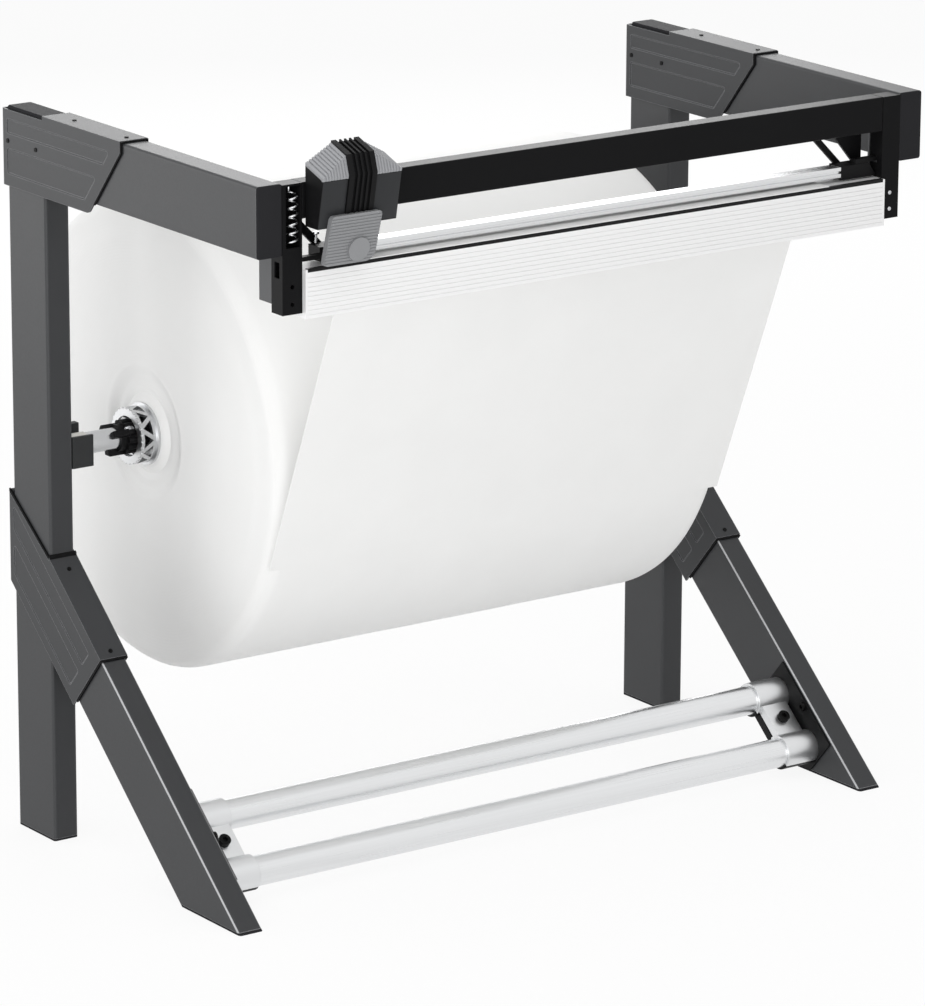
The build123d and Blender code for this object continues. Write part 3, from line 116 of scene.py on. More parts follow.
# %% Start a finish and dress its surface
finishes = {}
edge_samples = 4


def start_finish(slot, name, roughness, metallic, shine):
    """New material for a slot: its node tree, its shader and the place on the object."""
    material = bpy.data.materials.new(name)
    material.use_nodes = True
    finishes[slot] = material
    tree = material.node_tree
    shader = tree.nodes["Principled BSDF"]
    shader.inputs["Roughness"].default_value = roughness
    shader.inputs["Metallic"].default_value = metallic
    shader.inputs["Specular IOR Level"].default_value = shine
    return tree, shader, add_node(tree, "ShaderNodeTexCoord").outputs["Object"]


def dress(tree, shader, pattern, roughness, spread, strength, depth, edge):
    """Gloss and height from a pattern; depth and edge in millimetres. Gives the rounded normal."""
    gloss = add_node(
        tree,
        "ShaderNodeMapRange",
        {"Value": pattern, "To Min": roughness - spread, "To Max": roughness + spread},
    )
    bevel = add_node(tree, "ShaderNodeBevel", {"Radius": edge / 1000}, samples=edge_samples)
    rounded = bevel.outputs["Normal"]
    bump = add_node(
        tree,
        "ShaderNodeBump",
        {"Strength": strength, "Distance": depth / 1000, "Height": pattern, "Normal": rounded},
    )
    tree.links.new(gloss.outputs["Result"], shader.inputs["Roughness"])
    tree.links.new(bump.outputs["Normal"], shader.inputs["Normal"])
    return rounded


# %% [markdown]
# ## Grained finishes
# Powder coat, moulded plastic, rubber and die castings are even surfaces with a fine grain. The real
# grain is under a millimetre and would vanish in the picture, so it is drawn two to four times as
# coarse. A broad, faint cloud changes the shade, as a batch of paint or plastic does.
#
# Sharp edges catch the light as thin pale lines, and a paler shade put along them is a painted highlight. The
# rounded normal leaves the face's own normal only at edges, so their dot product finds them. The legs' long
# corners have a round that can be seen, and there the surface faces neither the side nor the front: the X
# share of the normal picks them out for a painted glint.

# %% Painted highlights on edges and glints on corners
edge_turn = 0.96
corner_turn, corner_band = 0.68, 0.22


def painted_edge_highlights(tree, colour, rounded, shade):
    """Painted highlight: another, paler shade along sharp edges, where the rounded normal leaves the face's
    own.
    """
    flat = add_node(tree, "ShaderNodeNewGeometry").outputs["Normal"]
    turned = add_node(tree, "ShaderNodeVectorMath", {0: rounded, 1: flat}, operation="DOT_PRODUCT")
    at_edge = add_node(
        tree,
        "ShaderNodeMapRange",
        {
            "Value": turned.outputs["Value"],
            "From Min": edge_turn,
            "From Max": 1.0,
            "To Min": 1.0,
            "To Max": 0.0,
        },
    )
    shades = {0: at_edge.outputs["Result"], 6: colour, 7: linear(shade)}
    return add_node(tree, "ShaderNodeMix", shades, data_type="RGBA").outputs[2]


def painted_corner_glints(tree, colour, shade):
    """Painted glint: another, paler shade along rounded corners, where the normal points half to the side."""
    flat = add_node(tree, "ShaderNodeNewGeometry").outputs["Normal"]
    ways = add_node(tree, "ShaderNodeSeparateXYZ", {0: flat})
    sideways = add_node(tree, "ShaderNodeMath", {0: ways.outputs["X"]}, operation="ABSOLUTE")
    limits = {0: sideways.outputs[0], 1: corner_turn, 2: corner_band}
    at_corner = add_node(tree, "ShaderNodeMath", limits, operation="COMPARE")
    shades = {0: at_corner.outputs[0], 6: colour, 7: linear(shade)}
    return add_node(tree, "ShaderNodeMix", shades, data_type="RGBA").outputs[2]


# %% Grained finishes
patch_size = 90.0
grain_spread = 0.08
grain_strength = 0.5


def grained(
    slot, name, shade, other_shade, roughness, grain, depth, edge,
    shine=0.5, metallic=0.0, edge_highlight=None, corner_glint=None,
):
    """Even surface of two close shades; grain, depth and edge in millimetres. Glass has a shine of 0.5."""
    tree, shader, place = start_finish(slot, name, roughness, metallic, shine)
    cloud = add_node(
        tree, "ShaderNodeTexNoise", {"Vector": place, "Scale": per_metre(patch_size), "Detail": 3.0}
    )
    grains = add_node(tree, "ShaderNodeTexNoise", {"Vector": place, "Scale": per_metre(grain), "Detail": 2.0})
    shades = {0: cloud.outputs["Fac"], 6: linear(shade), 7: linear(other_shade)}
    colour = add_node(tree, "ShaderNodeMix", shades, data_type="RGBA").outputs[2]
    rounded = dress(tree, shader, grains.outputs["Fac"], roughness, grain_spread, grain_strength, depth, edge)
    # Painted highlight along sharp edges, and painted glint along the legs' rounded corners
    if edge_highlight:
        colour = painted_edge_highlights(tree, colour, rounded, edge_highlight)
    if corner_glint:
        colour = painted_corner_glints(tree, colour, corner_glint)
    tree.links.new(colour, shader.inputs["Base Color"])


# %% Painted steel, plastic, rubber and castings
# Polyester powder coat, baked on steel: satin, with a fine orange peel
frame_coat = ("#2d2e30", "#323335", 0.44, 2.4, 0.10, 1.4, 0.36)
# A paler shade along its sharp edges is a painted highlight
grained("frame_paint", "powder_coated_steel", *frame_coat, edge_highlight="#8c8d8f")
# The same coat on the legs, with a painted glint: a pale shade along their rounded corners, where the light
# catches them
grained("leg_paint", "powder_coat_with_painted_glints", *frame_coat, edge_highlight="#8c8d8f", corner_glint="#b9babc")
# Thinner coats on the small steel parts: one nearly black, one a plain mid grey
grained("cradle_steel", "dark_powder_coated_steel", "#262728", "#2b2c2d", 0.45, 2.4, 0.10, 0.8, 0.25)
grained("hanger_steel", "grey_powder_coated_steel", "#444547", "#4a4b4d", 0.42, 2.4, 0.10, 0.6, 0.3)
# ABS from a spark-eroded mould: a touch more matt than the paint beside it
cover_abs = ("#303133", "#353638", 0.46, 2.0, 0.12, 1.4, 0.3)
# A paler shade along the covers' sharp edges and panel rims is a painted highlight
grained("cover_plastic", "moulded_abs_covers", *cover_abs, edge_highlight="#7c7d7f")
grained("carriage_plastic", "black_moulded_abs", "#101011", "#151516", 0.42, 2.0, 0.12, 1.2, 0.15)
# The front panels' lighter grey is painted light, for the light that the carriage's front catches
grained("front_panels", "front_panels_with_painted_light", "#262729", "#2b2c2e", 0.46, 2.0, 0.12, 0.5, 0.25)
grained("grip_plastic", "grey_moulded_grips", "#96979a", "#9e9fa2", 0.5, 2.0, 0.12, 0.5, 0.4)
grained("housing_plastic", "grey_moulded_housing", "#868789", "#8e8f91", 0.42, 2.0, 0.12, 0.8, 0.4)
# Polyethylene caps and nylon fittings: dull and waxy, so they hold almost no light
grained("cap_plastic", "moulded_polyethylene_caps", "#28282a", "#2d2d2f", 0.5, 2.0, 0.10, 0.8, 0.02)
grained("black_plastic", "black_nylon", "#0e0e0f", "#131314", 0.45, 2.0, 0.10, 0.8, 0.12)
# Acetal without a dye: milky white and smooth
grained("bush_plastic", "natural_acetal", "#d9d8d2", "#dedcd6", 0.4, 2.0, 0.05, 0.4)
# EPDM rubber: no gloss to speak of
grained("seal_rubber", "black_rubber", "#0b0b0c", "#0f0f10", 0.7, 2.0, 0.10, 0.5, 0.12)
# Satin black paint on pressed steel, and black oxide on bolts
grained("black_paint", "satin_black_paint", "#141415", "#171718", 0.34, 2.6, 0.06, 0.8, 0.05)
grained("black_steel", "black_oxide_steel", "#090909", "#0d0d0d", 0.45, 2.0, 0.05, 0.4, 0.1)
# Aluminium and zinc die castings, tumbled to an even satin
grained("clamp_metal", "satin_die_casting", "#dcddde", "#e3e4e5", 0.36, 2.2, 0.08, 1.0, metallic=1.0)
grained("chuck_metal", "zinc_die_casting", "#cdcecf", "#d5d6d7", 0.32, 2.2, 0.08, 0.6, metallic=1.0)
print("grained finishes", len(finishes))

# %% [markdown]
# ## Drawn and ground metals
# Tubes, rail and cut plate are drawn or pressed through a die and anodised, and the shaft and blades
# are ground. Both leave fine lines along the part. A noise that is stretched along X gives such
# lines: they change the gloss and the height a little. The real lines are a tenth of a millimetre
# apart, and are drawn as wide as the picture can show.

# %% Drawn and ground metals
line_run = 260.0
line_spread = 0.1
line_strength = 0.4


def drawn(slot, name, shade, other_shade, roughness, line, depth, edge, metallic=1.0, shine=0.5):
    """Metal with fine lines along X; line, depth and edge in millimetres."""
    tree, shader, place = start_finish(slot, name, roughness, metallic, shine)
    stretch = (per_metre(line_run), per_metre(line), per_metre(line))
    along = add_node(tree, "ShaderNodeMapping", {"Vector": place, "Scale": stretch})
    lines = add_node(
        tree, "ShaderNodeTexNoise", {"Vector": along.outputs["Vector"], "Scale": 1.0, "Detail": 4.0}
    )
    shades = {0: lines.outputs["Fac"], 6: linear(shade), 7: linear(other_shade)}
    colour = add_node(tree, "ShaderNodeMix", shades, data_type="RGBA").outputs[2]
    tree.links.new(colour, shader.inputs["Base Color"])
    dress(tree, shader, lines.outputs["Fac"], roughness, line_spread, line_strength, depth, edge)


# Drawn aluminium, anodised: bright satin with soft streaks
drawn("tube_aluminium", "satin_anodised_tube", "#dcddde", "#e9eaeb", 0.3, 2.5, 0.03, 0.3)
drawn("rail_aluminium", "satin_anodised_rail", "#dadbdc", "#e6e7e8", 0.28, 2.5, 0.03, 0.4)
# The cut plate is blasted before it is anodised, so it is nearly white and has no mirror in it
drawn("plate_aluminium", "blasted_anodised_plate", "#f0f0f0", "#f5f5f5", 0.5, 3.0, 0.03, 0.3, metallic=0.15)
# Hardened tool steel, left dark, and ground bright steel
drawn("blade_dark", "dark_tool_steel", "#101011", "#151516", 0.36, 2.0, 0.02, 0.3, metallic=0.2, shine=0.2)
drawn("blade_steel", "ground_blade_steel", "#a9abae", "#b6b8bb", 0.25, 1.6, 0.02, 0.2)
drawn("spring_steel", "bright_spring_steel", "#c6c7c9", "#d0d1d3", 0.24, 1.6, 0.01, 0.2)
drawn("shaft_steel", "ground_shaft_steel", "#c8c9cb", "#d2d3d5", 0.22, 1.6, 0.02, 0.3)
print("finishes so far", len(finishes))

# %% [markdown]
# ## Foam and board
# The roll is polyethylene foam about a millimetre thick: matt, white and slightly cloudy, with small
# closed cells that make its skin uneven. On the roll's ends the wound layers show as fine rings. A
# ring wave about the roll's axis draws them, four times as coarse as the real layers, and it has no
# effect on the round skin, where the distance from the axis stays the same. The core is a tube of
# grey board, wound at a slant.

# %% Foam and board
roll_low, roll_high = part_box("roll")
axis_y = (roll_low.y + roll_high.y) / 2
axis_z = (roll_low.z + roll_high.z) / 2
foam_roughness, foam_shine, foam_sheen = 0.62, 0.25, 0.08
foam_cloud = 120
cell_size, cell_depth, cell_strength = 3.2, 0.12, 0.35
layer_pitch, layer_strength = 4.8, 0.6
# A wave texture of scale 1 has a ring every pi / 10
ring_scale = per_metre(layer_pitch) * math.pi / 10


def foam(slot, name, ring_depth):
    """White foam with small cells, and rings about the roll's axis of a depth in millimetres."""
    tree, shader, place = start_finish(slot, name, foam_roughness, 0.0, foam_shine)
    shader.inputs["Sheen Weight"].default_value = foam_sheen
    cloud = add_node(
        tree, "ShaderNodeTexNoise", {"Vector": place, "Scale": per_metre(foam_cloud), "Detail": 3.0}
    )
    cells = add_node(tree, "ShaderNodeTexVoronoi", {"Vector": place, "Scale": per_metre(cell_size)})
    shades = {0: cloud.outputs["Fac"], 6: linear("#f7f7f6"), 7: linear("#f1f1f0")}
    colour = add_node(tree, "ShaderNodeMix", shades, data_type="RGBA").outputs[2]
    centred = add_node(tree, "ShaderNodeMapping", {"Vector": place, "Location": (0, -axis_y, -axis_z)})
    rings = add_node(
        tree,
        "ShaderNodeTexWave",
        {"Vector": centred.outputs["Vector"], "Scale": ring_scale, "Distortion": 0.6, "Detail": 1.0},
        wave_type="RINGS",
        rings_direction="X",
    )
    ringed = add_node(
        tree,
        "ShaderNodeBump",
        {"Strength": layer_strength, "Distance": ring_depth / 1000, "Height": rings.outputs["Fac"]},
    )
    bump = add_node(
        tree,
        "ShaderNodeBump",
        {
            "Strength": cell_strength,
            "Distance": cell_depth / 1000,
            "Height": cells.outputs["Distance"],
            "Normal": ringed.outputs["Normal"],
        },
    )
    tree.links.new(colour, shader.inputs["Base Color"])
    tree.links.new(bump.outputs["Normal"], shader.inputs["Normal"])


foam("film", "white_foam_sheet", 0.0)
foam("wound_film", "white_foam_roll", 0.08)
# Wound board: dull and a little rough to the eye
grained("core_board", "grey_core_board", "#8f7d66", "#9a8770", 0.8, 3.0, 0.2, 0.4)

# %% Give every part its finish
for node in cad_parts.values():
    slot = node.material_slots[0]
    slot.material = finishes[slot.material.name]
for leg in ("left_leg", "right_leg"):
    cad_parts[leg].material_slots[0].material = finishes["leg_paint"]
print("finishes", len(finishes))

# %% [markdown]
# ## The roll
# A roll of foam is not a turned cylinder: its rims are soft, its ends show the wound layers and sink
# a little round the core, and its skin is uneven by a millimetre or two. It starts as a cylinder.
# The rims are bevelled, each end is inset ring by ring with a small change of height, and the last
# ring is opened and bridged to make the bore for the core. The skin is then cut along its length
# and moved by a Displace modifier with a cloud texture.

# %% Start the roll and soften its rims
roll_radius = (roll_high.z - roll_low.z) / 2
roll_half = roll_high.x
rim_round = 0.024
near = 1e-4


def pick(piece, kind, test):
    """In edit mode, select the faces or edges whose corners all pass a test, and nothing else."""
    mesh = bmesh.from_edit_mesh(piece.data)
    for part in (*mesh.verts, *mesh.edges, *mesh.faces):
        part.select = False
    for part in getattr(mesh, kind):
        if all(test(corner.co) for corner in part.verts):
            part.select_set(True)
    bmesh.update_edit_mesh(piece.data)


bpy.ops.object.select_all(action="DESELECT")
bpy.ops.mesh.primitive_cylinder_add(
    vertices=240,
    radius=roll_radius,
    depth=2 * roll_half,
    location=(0, axis_y, axis_z),
    rotation=(0, math.pi / 2, 0),
)
foam_roll = bpy.context.object
foam_roll.name = "foam_roll"
bpy.ops.object.transform_apply(location=True, rotation=True, scale=True)
bpy.ops.object.mode_set(mode="EDIT")
bpy.ops.mesh.select_mode(type="EDGE")
for side in (1, -1):
    pick(foam_roll, "edges", lambda p: p.x * side > roll_half - near)
    bpy.ops.mesh.bevel(offset=rim_round, segments=8, affect="EDGES")
print("roll radius", round(roll_radius, 4), "width", round(2 * roll_half, 4))

# %% Rings, dents and bore in the roll's ends
# Dents round the core, as (radius, height) in millimetres
dents = [(100, 0), (93, -2.6), (86, -6.2), (79, -7.8), (72, -5.6)]
dents += [(66, -6.2), (60, -7.4), (54, -3.0), (50, 0)]
bore_radius = 0.04305
bore_margin = 1e-3
ring_step, ring_sink = 9.0, 0.35
wobble = random.Random(5)
ring_radius = (roll_radius - rim_round) * 1000
ring_height = 0.0
rings = []
while ring_radius - len(rings) * ring_step > dents[0][0] + ring_step:
    rings.append((ring_radius - (len(rings) + 1) * ring_step, -wobble.uniform(0, ring_sink)))


def from_axis(point):
    """Distance of a point from the roll's axis."""
    return math.hypot(point.y - axis_y, point.z - axis_z)


bpy.ops.mesh.select_mode(type="FACE")
pick(foam_roll, "faces", lambda p: abs(p.x) > roll_half - near)
for radius, height in rings + dents + [(bore_radius * 1000, 0)]:
    bpy.ops.mesh.inset(thickness=(ring_radius - radius) / 1000, depth=(height - ring_height) / 1000)
    ring_radius, ring_height = radius, height
bpy.ops.mesh.delete(type="ONLY_FACE")
bpy.ops.mesh.select_mode(type="EDGE")
pick(foam_roll, "edges", lambda p: from_axis(p) < bore_radius + bore_margin)
bpy.ops.mesh.bridge_edge_loops()
bpy.ops.object.mode_set(mode="OBJECT")
print("roll faces", len(foam_roll.data.polygons))

# %% Make the roll's skin uneven
skin_unevenness = 0.0022
skin_patch = 0.22
skin_share = 0.85
soft_crease = math.radians(40)
bpy.ops.object.mode_set(mode="EDIT")
bpy.ops.mesh.select_mode(type="EDGE")
skin = bmesh.from_edit_mesh(foam_roll.data)
for edge in skin.edges:
    edge.select_set(edge.calc_length() > roll_half and from_axis(edge.verts[0].co) > roll_radius / 2)
bmesh.update_edit_mesh(foam_roll.data)
bpy.ops.mesh.subdivide(number_cuts=47)
bpy.ops.mesh.select_all(action="SELECT")
bpy.ops.mesh.normals_make_consistent(inside=False)
bpy.ops.object.mode_set(mode="OBJECT")
soft = foam_roll.vertex_groups.new(name="soft_skin")
skin_corners = [v.index for v in foam_roll.data.vertices if from_axis(v.co) > roll_radius * skin_share]
soft.add(skin_corners, 1.0, "REPLACE")
clouds = bpy.data.textures.new("roll_unevenness", "CLOUDS")
clouds.noise_scale = skin_patch
uneven = foam_roll.modifiers.new("uneven", "DISPLACE")
uneven.texture = clouds
uneven.vertex_group = soft.name
uneven.mid_level = 1.0
uneven.strength = skin_unevenness
bpy.ops.object.modifier_apply(modifier="uneven")
bpy.ops.object.shade_smooth_by_angle(angle=soft_crease)
foam_roll.data.materials.append(finishes["wound_film"])
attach(foam_roll, "roll")
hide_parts("roll")
print("roll box", [round(c, 4) for c in foam_roll.dimensions])

# %% [markdown]
# ## The free sheet
# Foam runs off the roll in one straight, pulled sheet, bends over the rear edge of the cut plate and
# lies on the plate up to the cutting edge. A cloth simulation would only find this same taut shape,
# so a grid is laid along the path. Long, faint waves from the pull fade out at both ends, and a
# Solidify modifier gives the sheet its thickness.

# %% Find the sheet's path
sheet_width = 0.8
sheet_thickness = 0.001
bend_radius = 0.006
wrap_gap = 0.001
top_skin = 0.0006
edge_inset = 0.004
web_low, web_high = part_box("web")
sheet_level = web_high.z - top_skin
sheet_front = web_low.y
bend_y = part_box("cut_plate")[1].y - edge_inset
bend_z = sheet_level - bend_radius
wrap_radius = roll_radius + wrap_gap
reach_y = axis_y - bend_y
reach_z = bend_z - axis_z
lean = math.atan2(reach_z, reach_y) + math.asin((wrap_radius + bend_radius) / math.hypot(reach_y, reach_z))
out_y, out_z = -math.sin(lean), -math.cos(lean)
start = Vector((0, axis_y + wrap_radius * out_y, axis_z + wrap_radius * out_z))
bend_start = Vector((0, bend_y - bend_radius * out_y, bend_z - bend_radius * out_z))
free_run = (bend_start - start).length
bend_turn = math.atan2(-out_z, out_y) - math.pi / 2
bend_run = bend_radius * bend_turn
level_run = bend_y - sheet_front
sheet_length = free_run + bend_run + level_run


def along_sheet(distance):
    """Place and outward direction of the sheet at a distance from the roll."""
    if distance <= free_run:
        return start.lerp(bend_start, distance / free_run), Vector((0, out_y, out_z))
    if distance <= free_run + bend_run:
        turn = (distance - free_run) / bend_radius
        angle = math.atan2(-out_z, -out_y) + turn
        way = Vector((0, math.cos(angle), math.sin(angle)))
        return Vector((0, bend_y, bend_z)) + bend_radius * way, -way
    return Vector((0, bend_y - (distance - free_run - bend_run), sheet_level)), Vector((0, 0, -1))


print("sheet", sheet_width, "by", round(sheet_length, 4), "turn", round(math.degrees(bend_turn), 1))

# %% Lay a grid along the path
wave_height = 0.0012
broad_wave, broad_slant = 31.0, 2.0
fine_wave, fine_slant, fine_start, fine_share = 53.0, -3.0, 1.0, 0.6
wave_peak = 1.0 + fine_share
bpy.ops.object.select_all(action="DESELECT")
bpy.ops.mesh.primitive_grid_add(x_subdivisions=80, y_subdivisions=240, size=1.0)
foam_sheet = bpy.context.object
foam_sheet.name = "foam_sheet"
for corner in foam_sheet.data.vertices:
    across, distance = corner.co.x * sheet_width, (corner.co.y + 0.5) * sheet_length
    spot, outward = along_sheet(distance)
    fade = math.sin(math.pi * min(distance / free_run, 1.0)) ** 2
    broad = math.sin(across * broad_wave + broad_slant * distance)
    fine = fine_share * math.sin(across * fine_wave + fine_slant * distance + fine_start)
    lift = wave_height * fade * (broad + fine + wave_peak) / (2 * wave_peak)
    corner.co = Vector((across, 0, 0)) + spot + outward * lift
wall = foam_sheet.modifiers.new("wall", "SOLIDIFY")
wall.thickness = sheet_thickness
wall.offset = 0.0
bpy.ops.object.modifier_apply(modifier="wall")
bpy.ops.object.shade_smooth_by_angle(angle=soft_crease)
foam_sheet.data.materials.append(finishes["film"])
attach(foam_sheet, "frame")
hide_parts("web")
print("sheet box", [round(c, 4) for c in foam_sheet.dimensions])

# %% [markdown]
# ## Small pieces on the knife carriage and the rail
# The carriage is black at its sides and shows lighter in front, where its leaning face catches the light. Two
# thin panels of a lighter grey lie on that face beside the ribbed band, and their grey is painted light. They
# could be painted on, but then they would have no edge to catch the light. A cube is scaled to a panel,
# leaned with the face and bevelled. A bright stop screw stands on the rail's left block: a thin cylinder with
# a bevelled six-sided head.

# %% Front panels of the carriage
grip_low, grip_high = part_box("carriage_grips")
band_low, band_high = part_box("carriage_band")
lean_run, lean_height = 0.014, 0.072
face_lean = math.atan2(lean_run, lean_height)
eave_height = 1.085
face_eave = Vector((0, grip_low.y, eave_height))
face_down = Vector((0, math.sin(face_lean), -math.cos(face_lean)))
panel_thickness, panel_gap, panel_round = 0.0008, 0.0012, 0.0003
panel_top, panel_foot = 1.0806, 1.0145
hard_crease = math.radians(35)


def round_edges(amount):
    """Bevel all the edges of the active piece."""
    bpy.ops.object.mode_set(mode="EDIT")
    bpy.ops.mesh.select_all(action="SELECT")
    bpy.ops.mesh.bevel(offset=amount, segments=3, affect="EDGES")
    bpy.ops.object.mode_set(mode="OBJECT")
    bpy.ops.object.shade_smooth_by_angle(angle=hard_crease)


panels = []
for inner, outer in ((band_low.x, grip_low.x), (band_high.x, grip_high.x)):
    bpy.ops.object.select_all(action="DESELECT")
    bpy.ops.mesh.primitive_cube_add(size=1.0, rotation=(face_lean, 0, 0))
    panel = bpy.context.object
    panel_length = (panel_top - panel_foot) / math.cos(face_lean)
    panel.scale = (abs(outer - inner) - panel_gap, panel_thickness, panel_length)
    height = (panel_top + panel_foot) / 2
    panel.location = face_eave + face_down * ((face_eave.z - height) / math.cos(face_lean))
    panel.location.x = (inner + outer) / 2
    bpy.ops.object.transform_apply(location=True, rotation=True, scale=True)
    round_edges(panel_round)
    panels.append(panel)
bpy.ops.object.select_all(action="DESELECT")
for panel in panels:
    panel.select_set(True)
bpy.context.view_layer.objects.active = panels[0]
bpy.ops.object.join()
front_panels = bpy.context.object
front_panels.name = "front_panels"
front_panels.data.materials.append(finishes["front_panels"])
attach(front_panels, "carriage")
print("panels", [round(c, 4) for c in front_panels.dimensions])

# %% Stop screw on the rail's left block
screw_place = (-0.459, -0.4025)
screw_foot, shank_top, head_top = 0.9765, 0.9905, 0.9940
shank_radius, head_radius, head_round = 0.0018, 0.0044, 0.0004
bpy.ops.object.select_all(action="DESELECT")
bpy.ops.mesh.primitive_cylinder_add(
    vertices=32,
    radius=shank_radius,
    depth=shank_top - screw_foot,
    location=(*screw_place, (shank_top + screw_foot) / 2),
)
shank = bpy.context.object
bpy.ops.mesh.primitive_cylinder_add(
    vertices=6,
    radius=head_radius,
    depth=head_top - shank_top,
    location=(*screw_place, (head_top + shank_top) / 2),
)
bpy.ops.object.transform_apply(location=True, rotation=True, scale=True)
round_edges(head_round)
shank.select_set(True)
bpy.ops.object.join()
stop_screw = bpy.context.object
stop_screw.name = "stop_screw"
stop_screw.data.materials.append(finishes["spring_steel"])
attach(stop_screw, "rail")
print("stop screw", [round(c, 4) for c in stop_screw.dimensions])

# %% [markdown]
# ## Rivets and knob screws
# Two bright rivets close the right bracket, and a bright oval screw sits in each star knob. All are
# the same kind of head: a short cylinder whose rim is bevelled to a dome, with a socket sunk in its
# face by two insets. One function models such a head, and the knobs' heads are stretched sideways.

# %% Domed heads
dome_share, lip_share, socket_share = 0.6, 0.25, 0.3
near_top = 1e-5


def domed_head(place, way, radius, height):
    """Domed head with a sunk socket, which stands on a place and points along a direction."""
    bpy.ops.object.select_all(action="DESELECT")
    bpy.ops.mesh.primitive_cylinder_add(
        vertices=32,
        radius=radius,
        depth=height,
        location=place + way * height / 2,
        rotation=way.to_track_quat("Z", "Y").to_euler(),
    )
    head = bpy.context.object
    bpy.ops.object.transform_apply(location=True, rotation=True, scale=True)
    bpy.ops.object.mode_set(mode="EDIT")
    bpy.ops.mesh.select_mode(type="FACE")
    pick(head, "faces", lambda p: (p - place).dot(way) > height - near_top)
    bpy.ops.mesh.bevel(offset=height * dome_share, segments=5, affect="EDGES")
    pick(head, "faces", lambda p: (p - place).dot(way) > height - near_top)
    bpy.ops.mesh.inset(thickness=radius * lip_share, depth=0.0)
    bpy.ops.mesh.inset(thickness=radius * lip_share / 4, depth=-height * socket_share)
    bpy.ops.object.mode_set(mode="OBJECT")
    bpy.ops.object.shade_smooth_by_angle(angle=hard_crease)
    return head


# %% Rivets in the right bracket
rivet_radius, rivet_height = 0.0031, 0.0016
rivet_places = [Vector((0.519, -0.4339, 0.907)), Vector((0.519, -0.4339, 0.931))]
heads = [domed_head(place, Vector((0, -1, 0)), rivet_radius, rivet_height) for place in rivet_places]
for head in heads:
    head.select_set(True)
bpy.ops.object.join()
rivets = bpy.context.object
rivets.name = "rivets"
rivets.data.materials.append(finishes["spring_steel"])
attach(rivets, "frame")
print("rivets", [round(c, 4) for c in rivets.dimensions])

# %% Screws in the star knobs
screw_radius, screw_height, screw_foot_radius = 0.0056, 0.0050, 0.0195
screw_stretch = 1.5
screw_angle = math.radians(44)
screw_way = Vector((0, -math.cos(screw_angle), math.sin(screw_angle)))
for node, body in (("left_chuck_knob", "left_knob"), ("right_chuck_knob", "right_knob")):
    knob_low, knob_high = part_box(node)
    middle = Vector(((knob_low.x + knob_high.x) / 2, axis_y, axis_z))
    knob_screw = domed_head(middle + screw_way * screw_foot_radius, screw_way, screw_radius, screw_height)
    bpy.ops.object.mode_set(mode="EDIT")
    bpy.ops.mesh.select_all(action="SELECT")
    bpy.ops.transform.resize(value=(screw_stretch, 1, 1), center_override=middle)
    bpy.ops.object.mode_set(mode="OBJECT")
    knob_screw.name = body + "_screw"
    knob_screw.data.materials.append(finishes["spring_steel"])
    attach(knob_screw, body)
    print(knob_screw.name, [round(c, 4) for c in knob_screw.dimensions])

# %% [markdown]
# ## Floor, backdrop and light
# The stand is shown on plain white. The floor is pale, keeps a soft shadow, and looks white to the
# camera and in reflections, through the Light Path node. The world is the white backdrop. Five large
# soft lamps light the stand. A fill near the camera's side does most of the work in front, where it
# throws no shadow that can be seen. Two weak ones, on the left and behind on the left, light the
# outer sides, one from above lights the roll, and one behind is mirrored in the flat tops.

# %% Floor and backdrop
floor_size = 80
floor_white = 0.9
ambient = 0.66


def seen_directly(tree):
    """1 for rays from the camera, from gloss and through glass, and 0 for all others."""
    path = add_node(tree, "ShaderNodeLightPath").outputs
    rays = {0: path["Is Camera Ray"], 1: path["Is Glossy Ray"]}
    seen = add_node(tree, "ShaderNodeMath", rays, operation="MAXIMUM").outputs[0]
    rays = {0: seen, 1: path["Is Transmission Ray"]}
    return add_node(tree, "ShaderNodeMath", rays, operation="MAXIMUM").outputs[0]


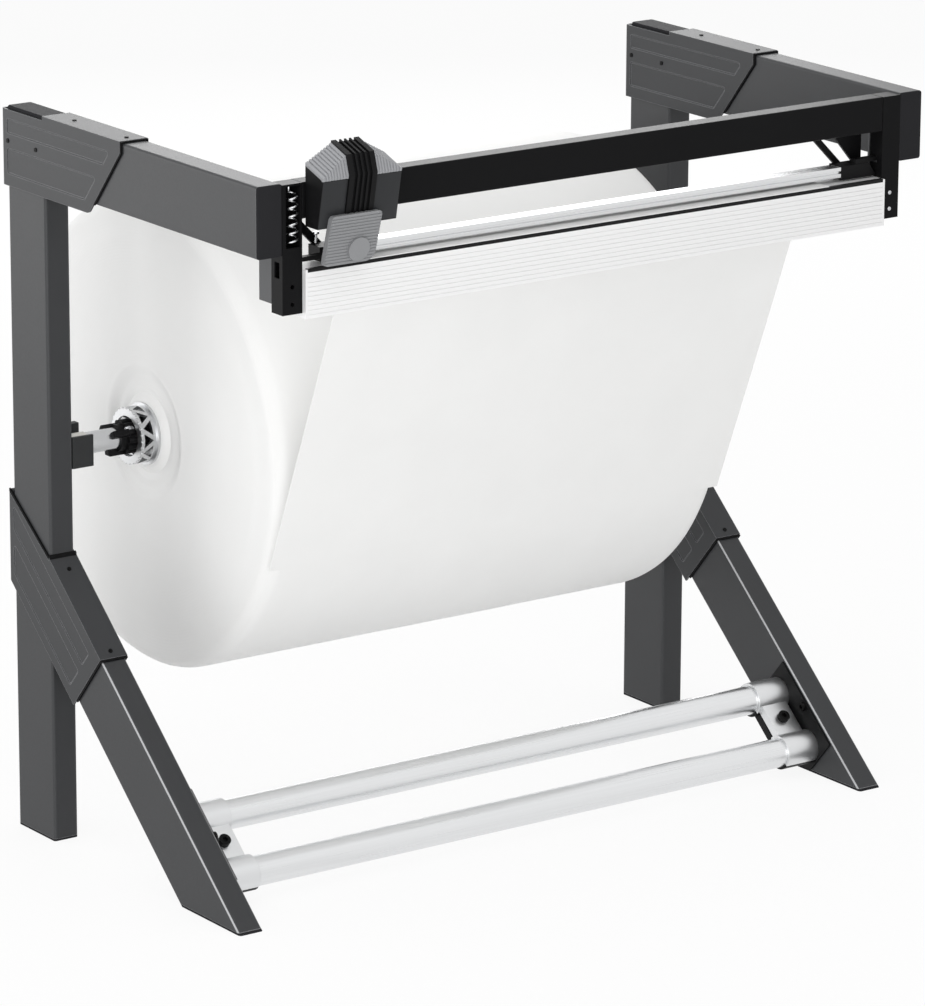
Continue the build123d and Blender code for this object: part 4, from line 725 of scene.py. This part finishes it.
bpy.ops.object.select_all(action="DESELECT")
bpy.ops.mesh.primitive_plane_add(size=floor_size)
floor = bpy.context.object
floor.name = "studio_floor"
paper = bpy.data.materials.new("pale_floor")
paper.use_nodes = True
tree = paper.node_tree
tree.nodes.clear()
matt = add_node(tree, "ShaderNodeBsdfDiffuse", {"Color": linear("#f4f4f4")})
glow = add_node(tree, "ShaderNodeEmission", {"Color": (1, 1, 1, 1), "Strength": 1.0})
share = add_node(tree, "ShaderNodeMath", {0: seen_directly(tree), 1: floor_white}, operation="MULTIPLY")
both = add_node(tree, "ShaderNodeMixShader", {0: share.outputs[0], 1: matt.outputs[0], 2: glow.outputs[0]})
add_node(tree, "ShaderNodeOutputMaterial", {"Surface": both.outputs[0]})
floor.data.materials.append(paper)

world = bpy.data.worlds.new("white_studio")
bpy.context.scene.world = world
world.use_nodes = True
tree = world.node_tree
tree.nodes.clear()
dim = add_node(tree, "ShaderNodeBackground", {"Color": (1, 1, 1, 1), "Strength": ambient})
white = add_node(tree, "ShaderNodeBackground", {"Color": (1, 1, 1, 1), "Strength": 1.0})
both = add_node(tree, "ShaderNodeMixShader", {0: seen_directly(tree), 1: dim.outputs[0], 2: white.outputs[0]})
add_node(tree, "ShaderNodeOutputWorld", {"Surface": both.outputs[0]})
print("floor and backdrop ready")

# %% Lamps
# Name, place, aim, size in metres and power in watts
lamps = [
    ("left_softbox", (-3.2, -1.5, 1.5), (-0.3, 0.0, 0.6), 2.4, 9.0),
    ("rear_left_softbox", (-2.4, 2.3, 0.9), (-0.5, 0.1, 0.6), 2.0, 23.0),
    ("top_softbox", (-0.4, -0.4, 3.2), (0.0, 0.0, 0.5), 2.4, 18.0),
    ("rear_softbox", (2.6, 4.2, 2.4), (0.0, 0.0, 1.0), 2.6, 62.0),
    ("front_fill", (-2.1, -3.1, 0.6), (0.0, 0.0, 0.55), 2.2, 41.0),
]
for name, place, target, size, power in lamps:
    bpy.ops.object.light_add(type="AREA", location=place)
    lamp = bpy.context.object
    lamp.name = name
    lamp.visible_camera = False
    lamp.data.shape = "SQUARE"
    lamp.data.size = size
    lamp.data.energy = power
    lamp.rotation_mode = "QUATERNION"
    lamp.rotation_quaternion = (Vector(target) - Vector(place)).to_track_quat("-Z", "Y")
print("lamps", len(lamps))
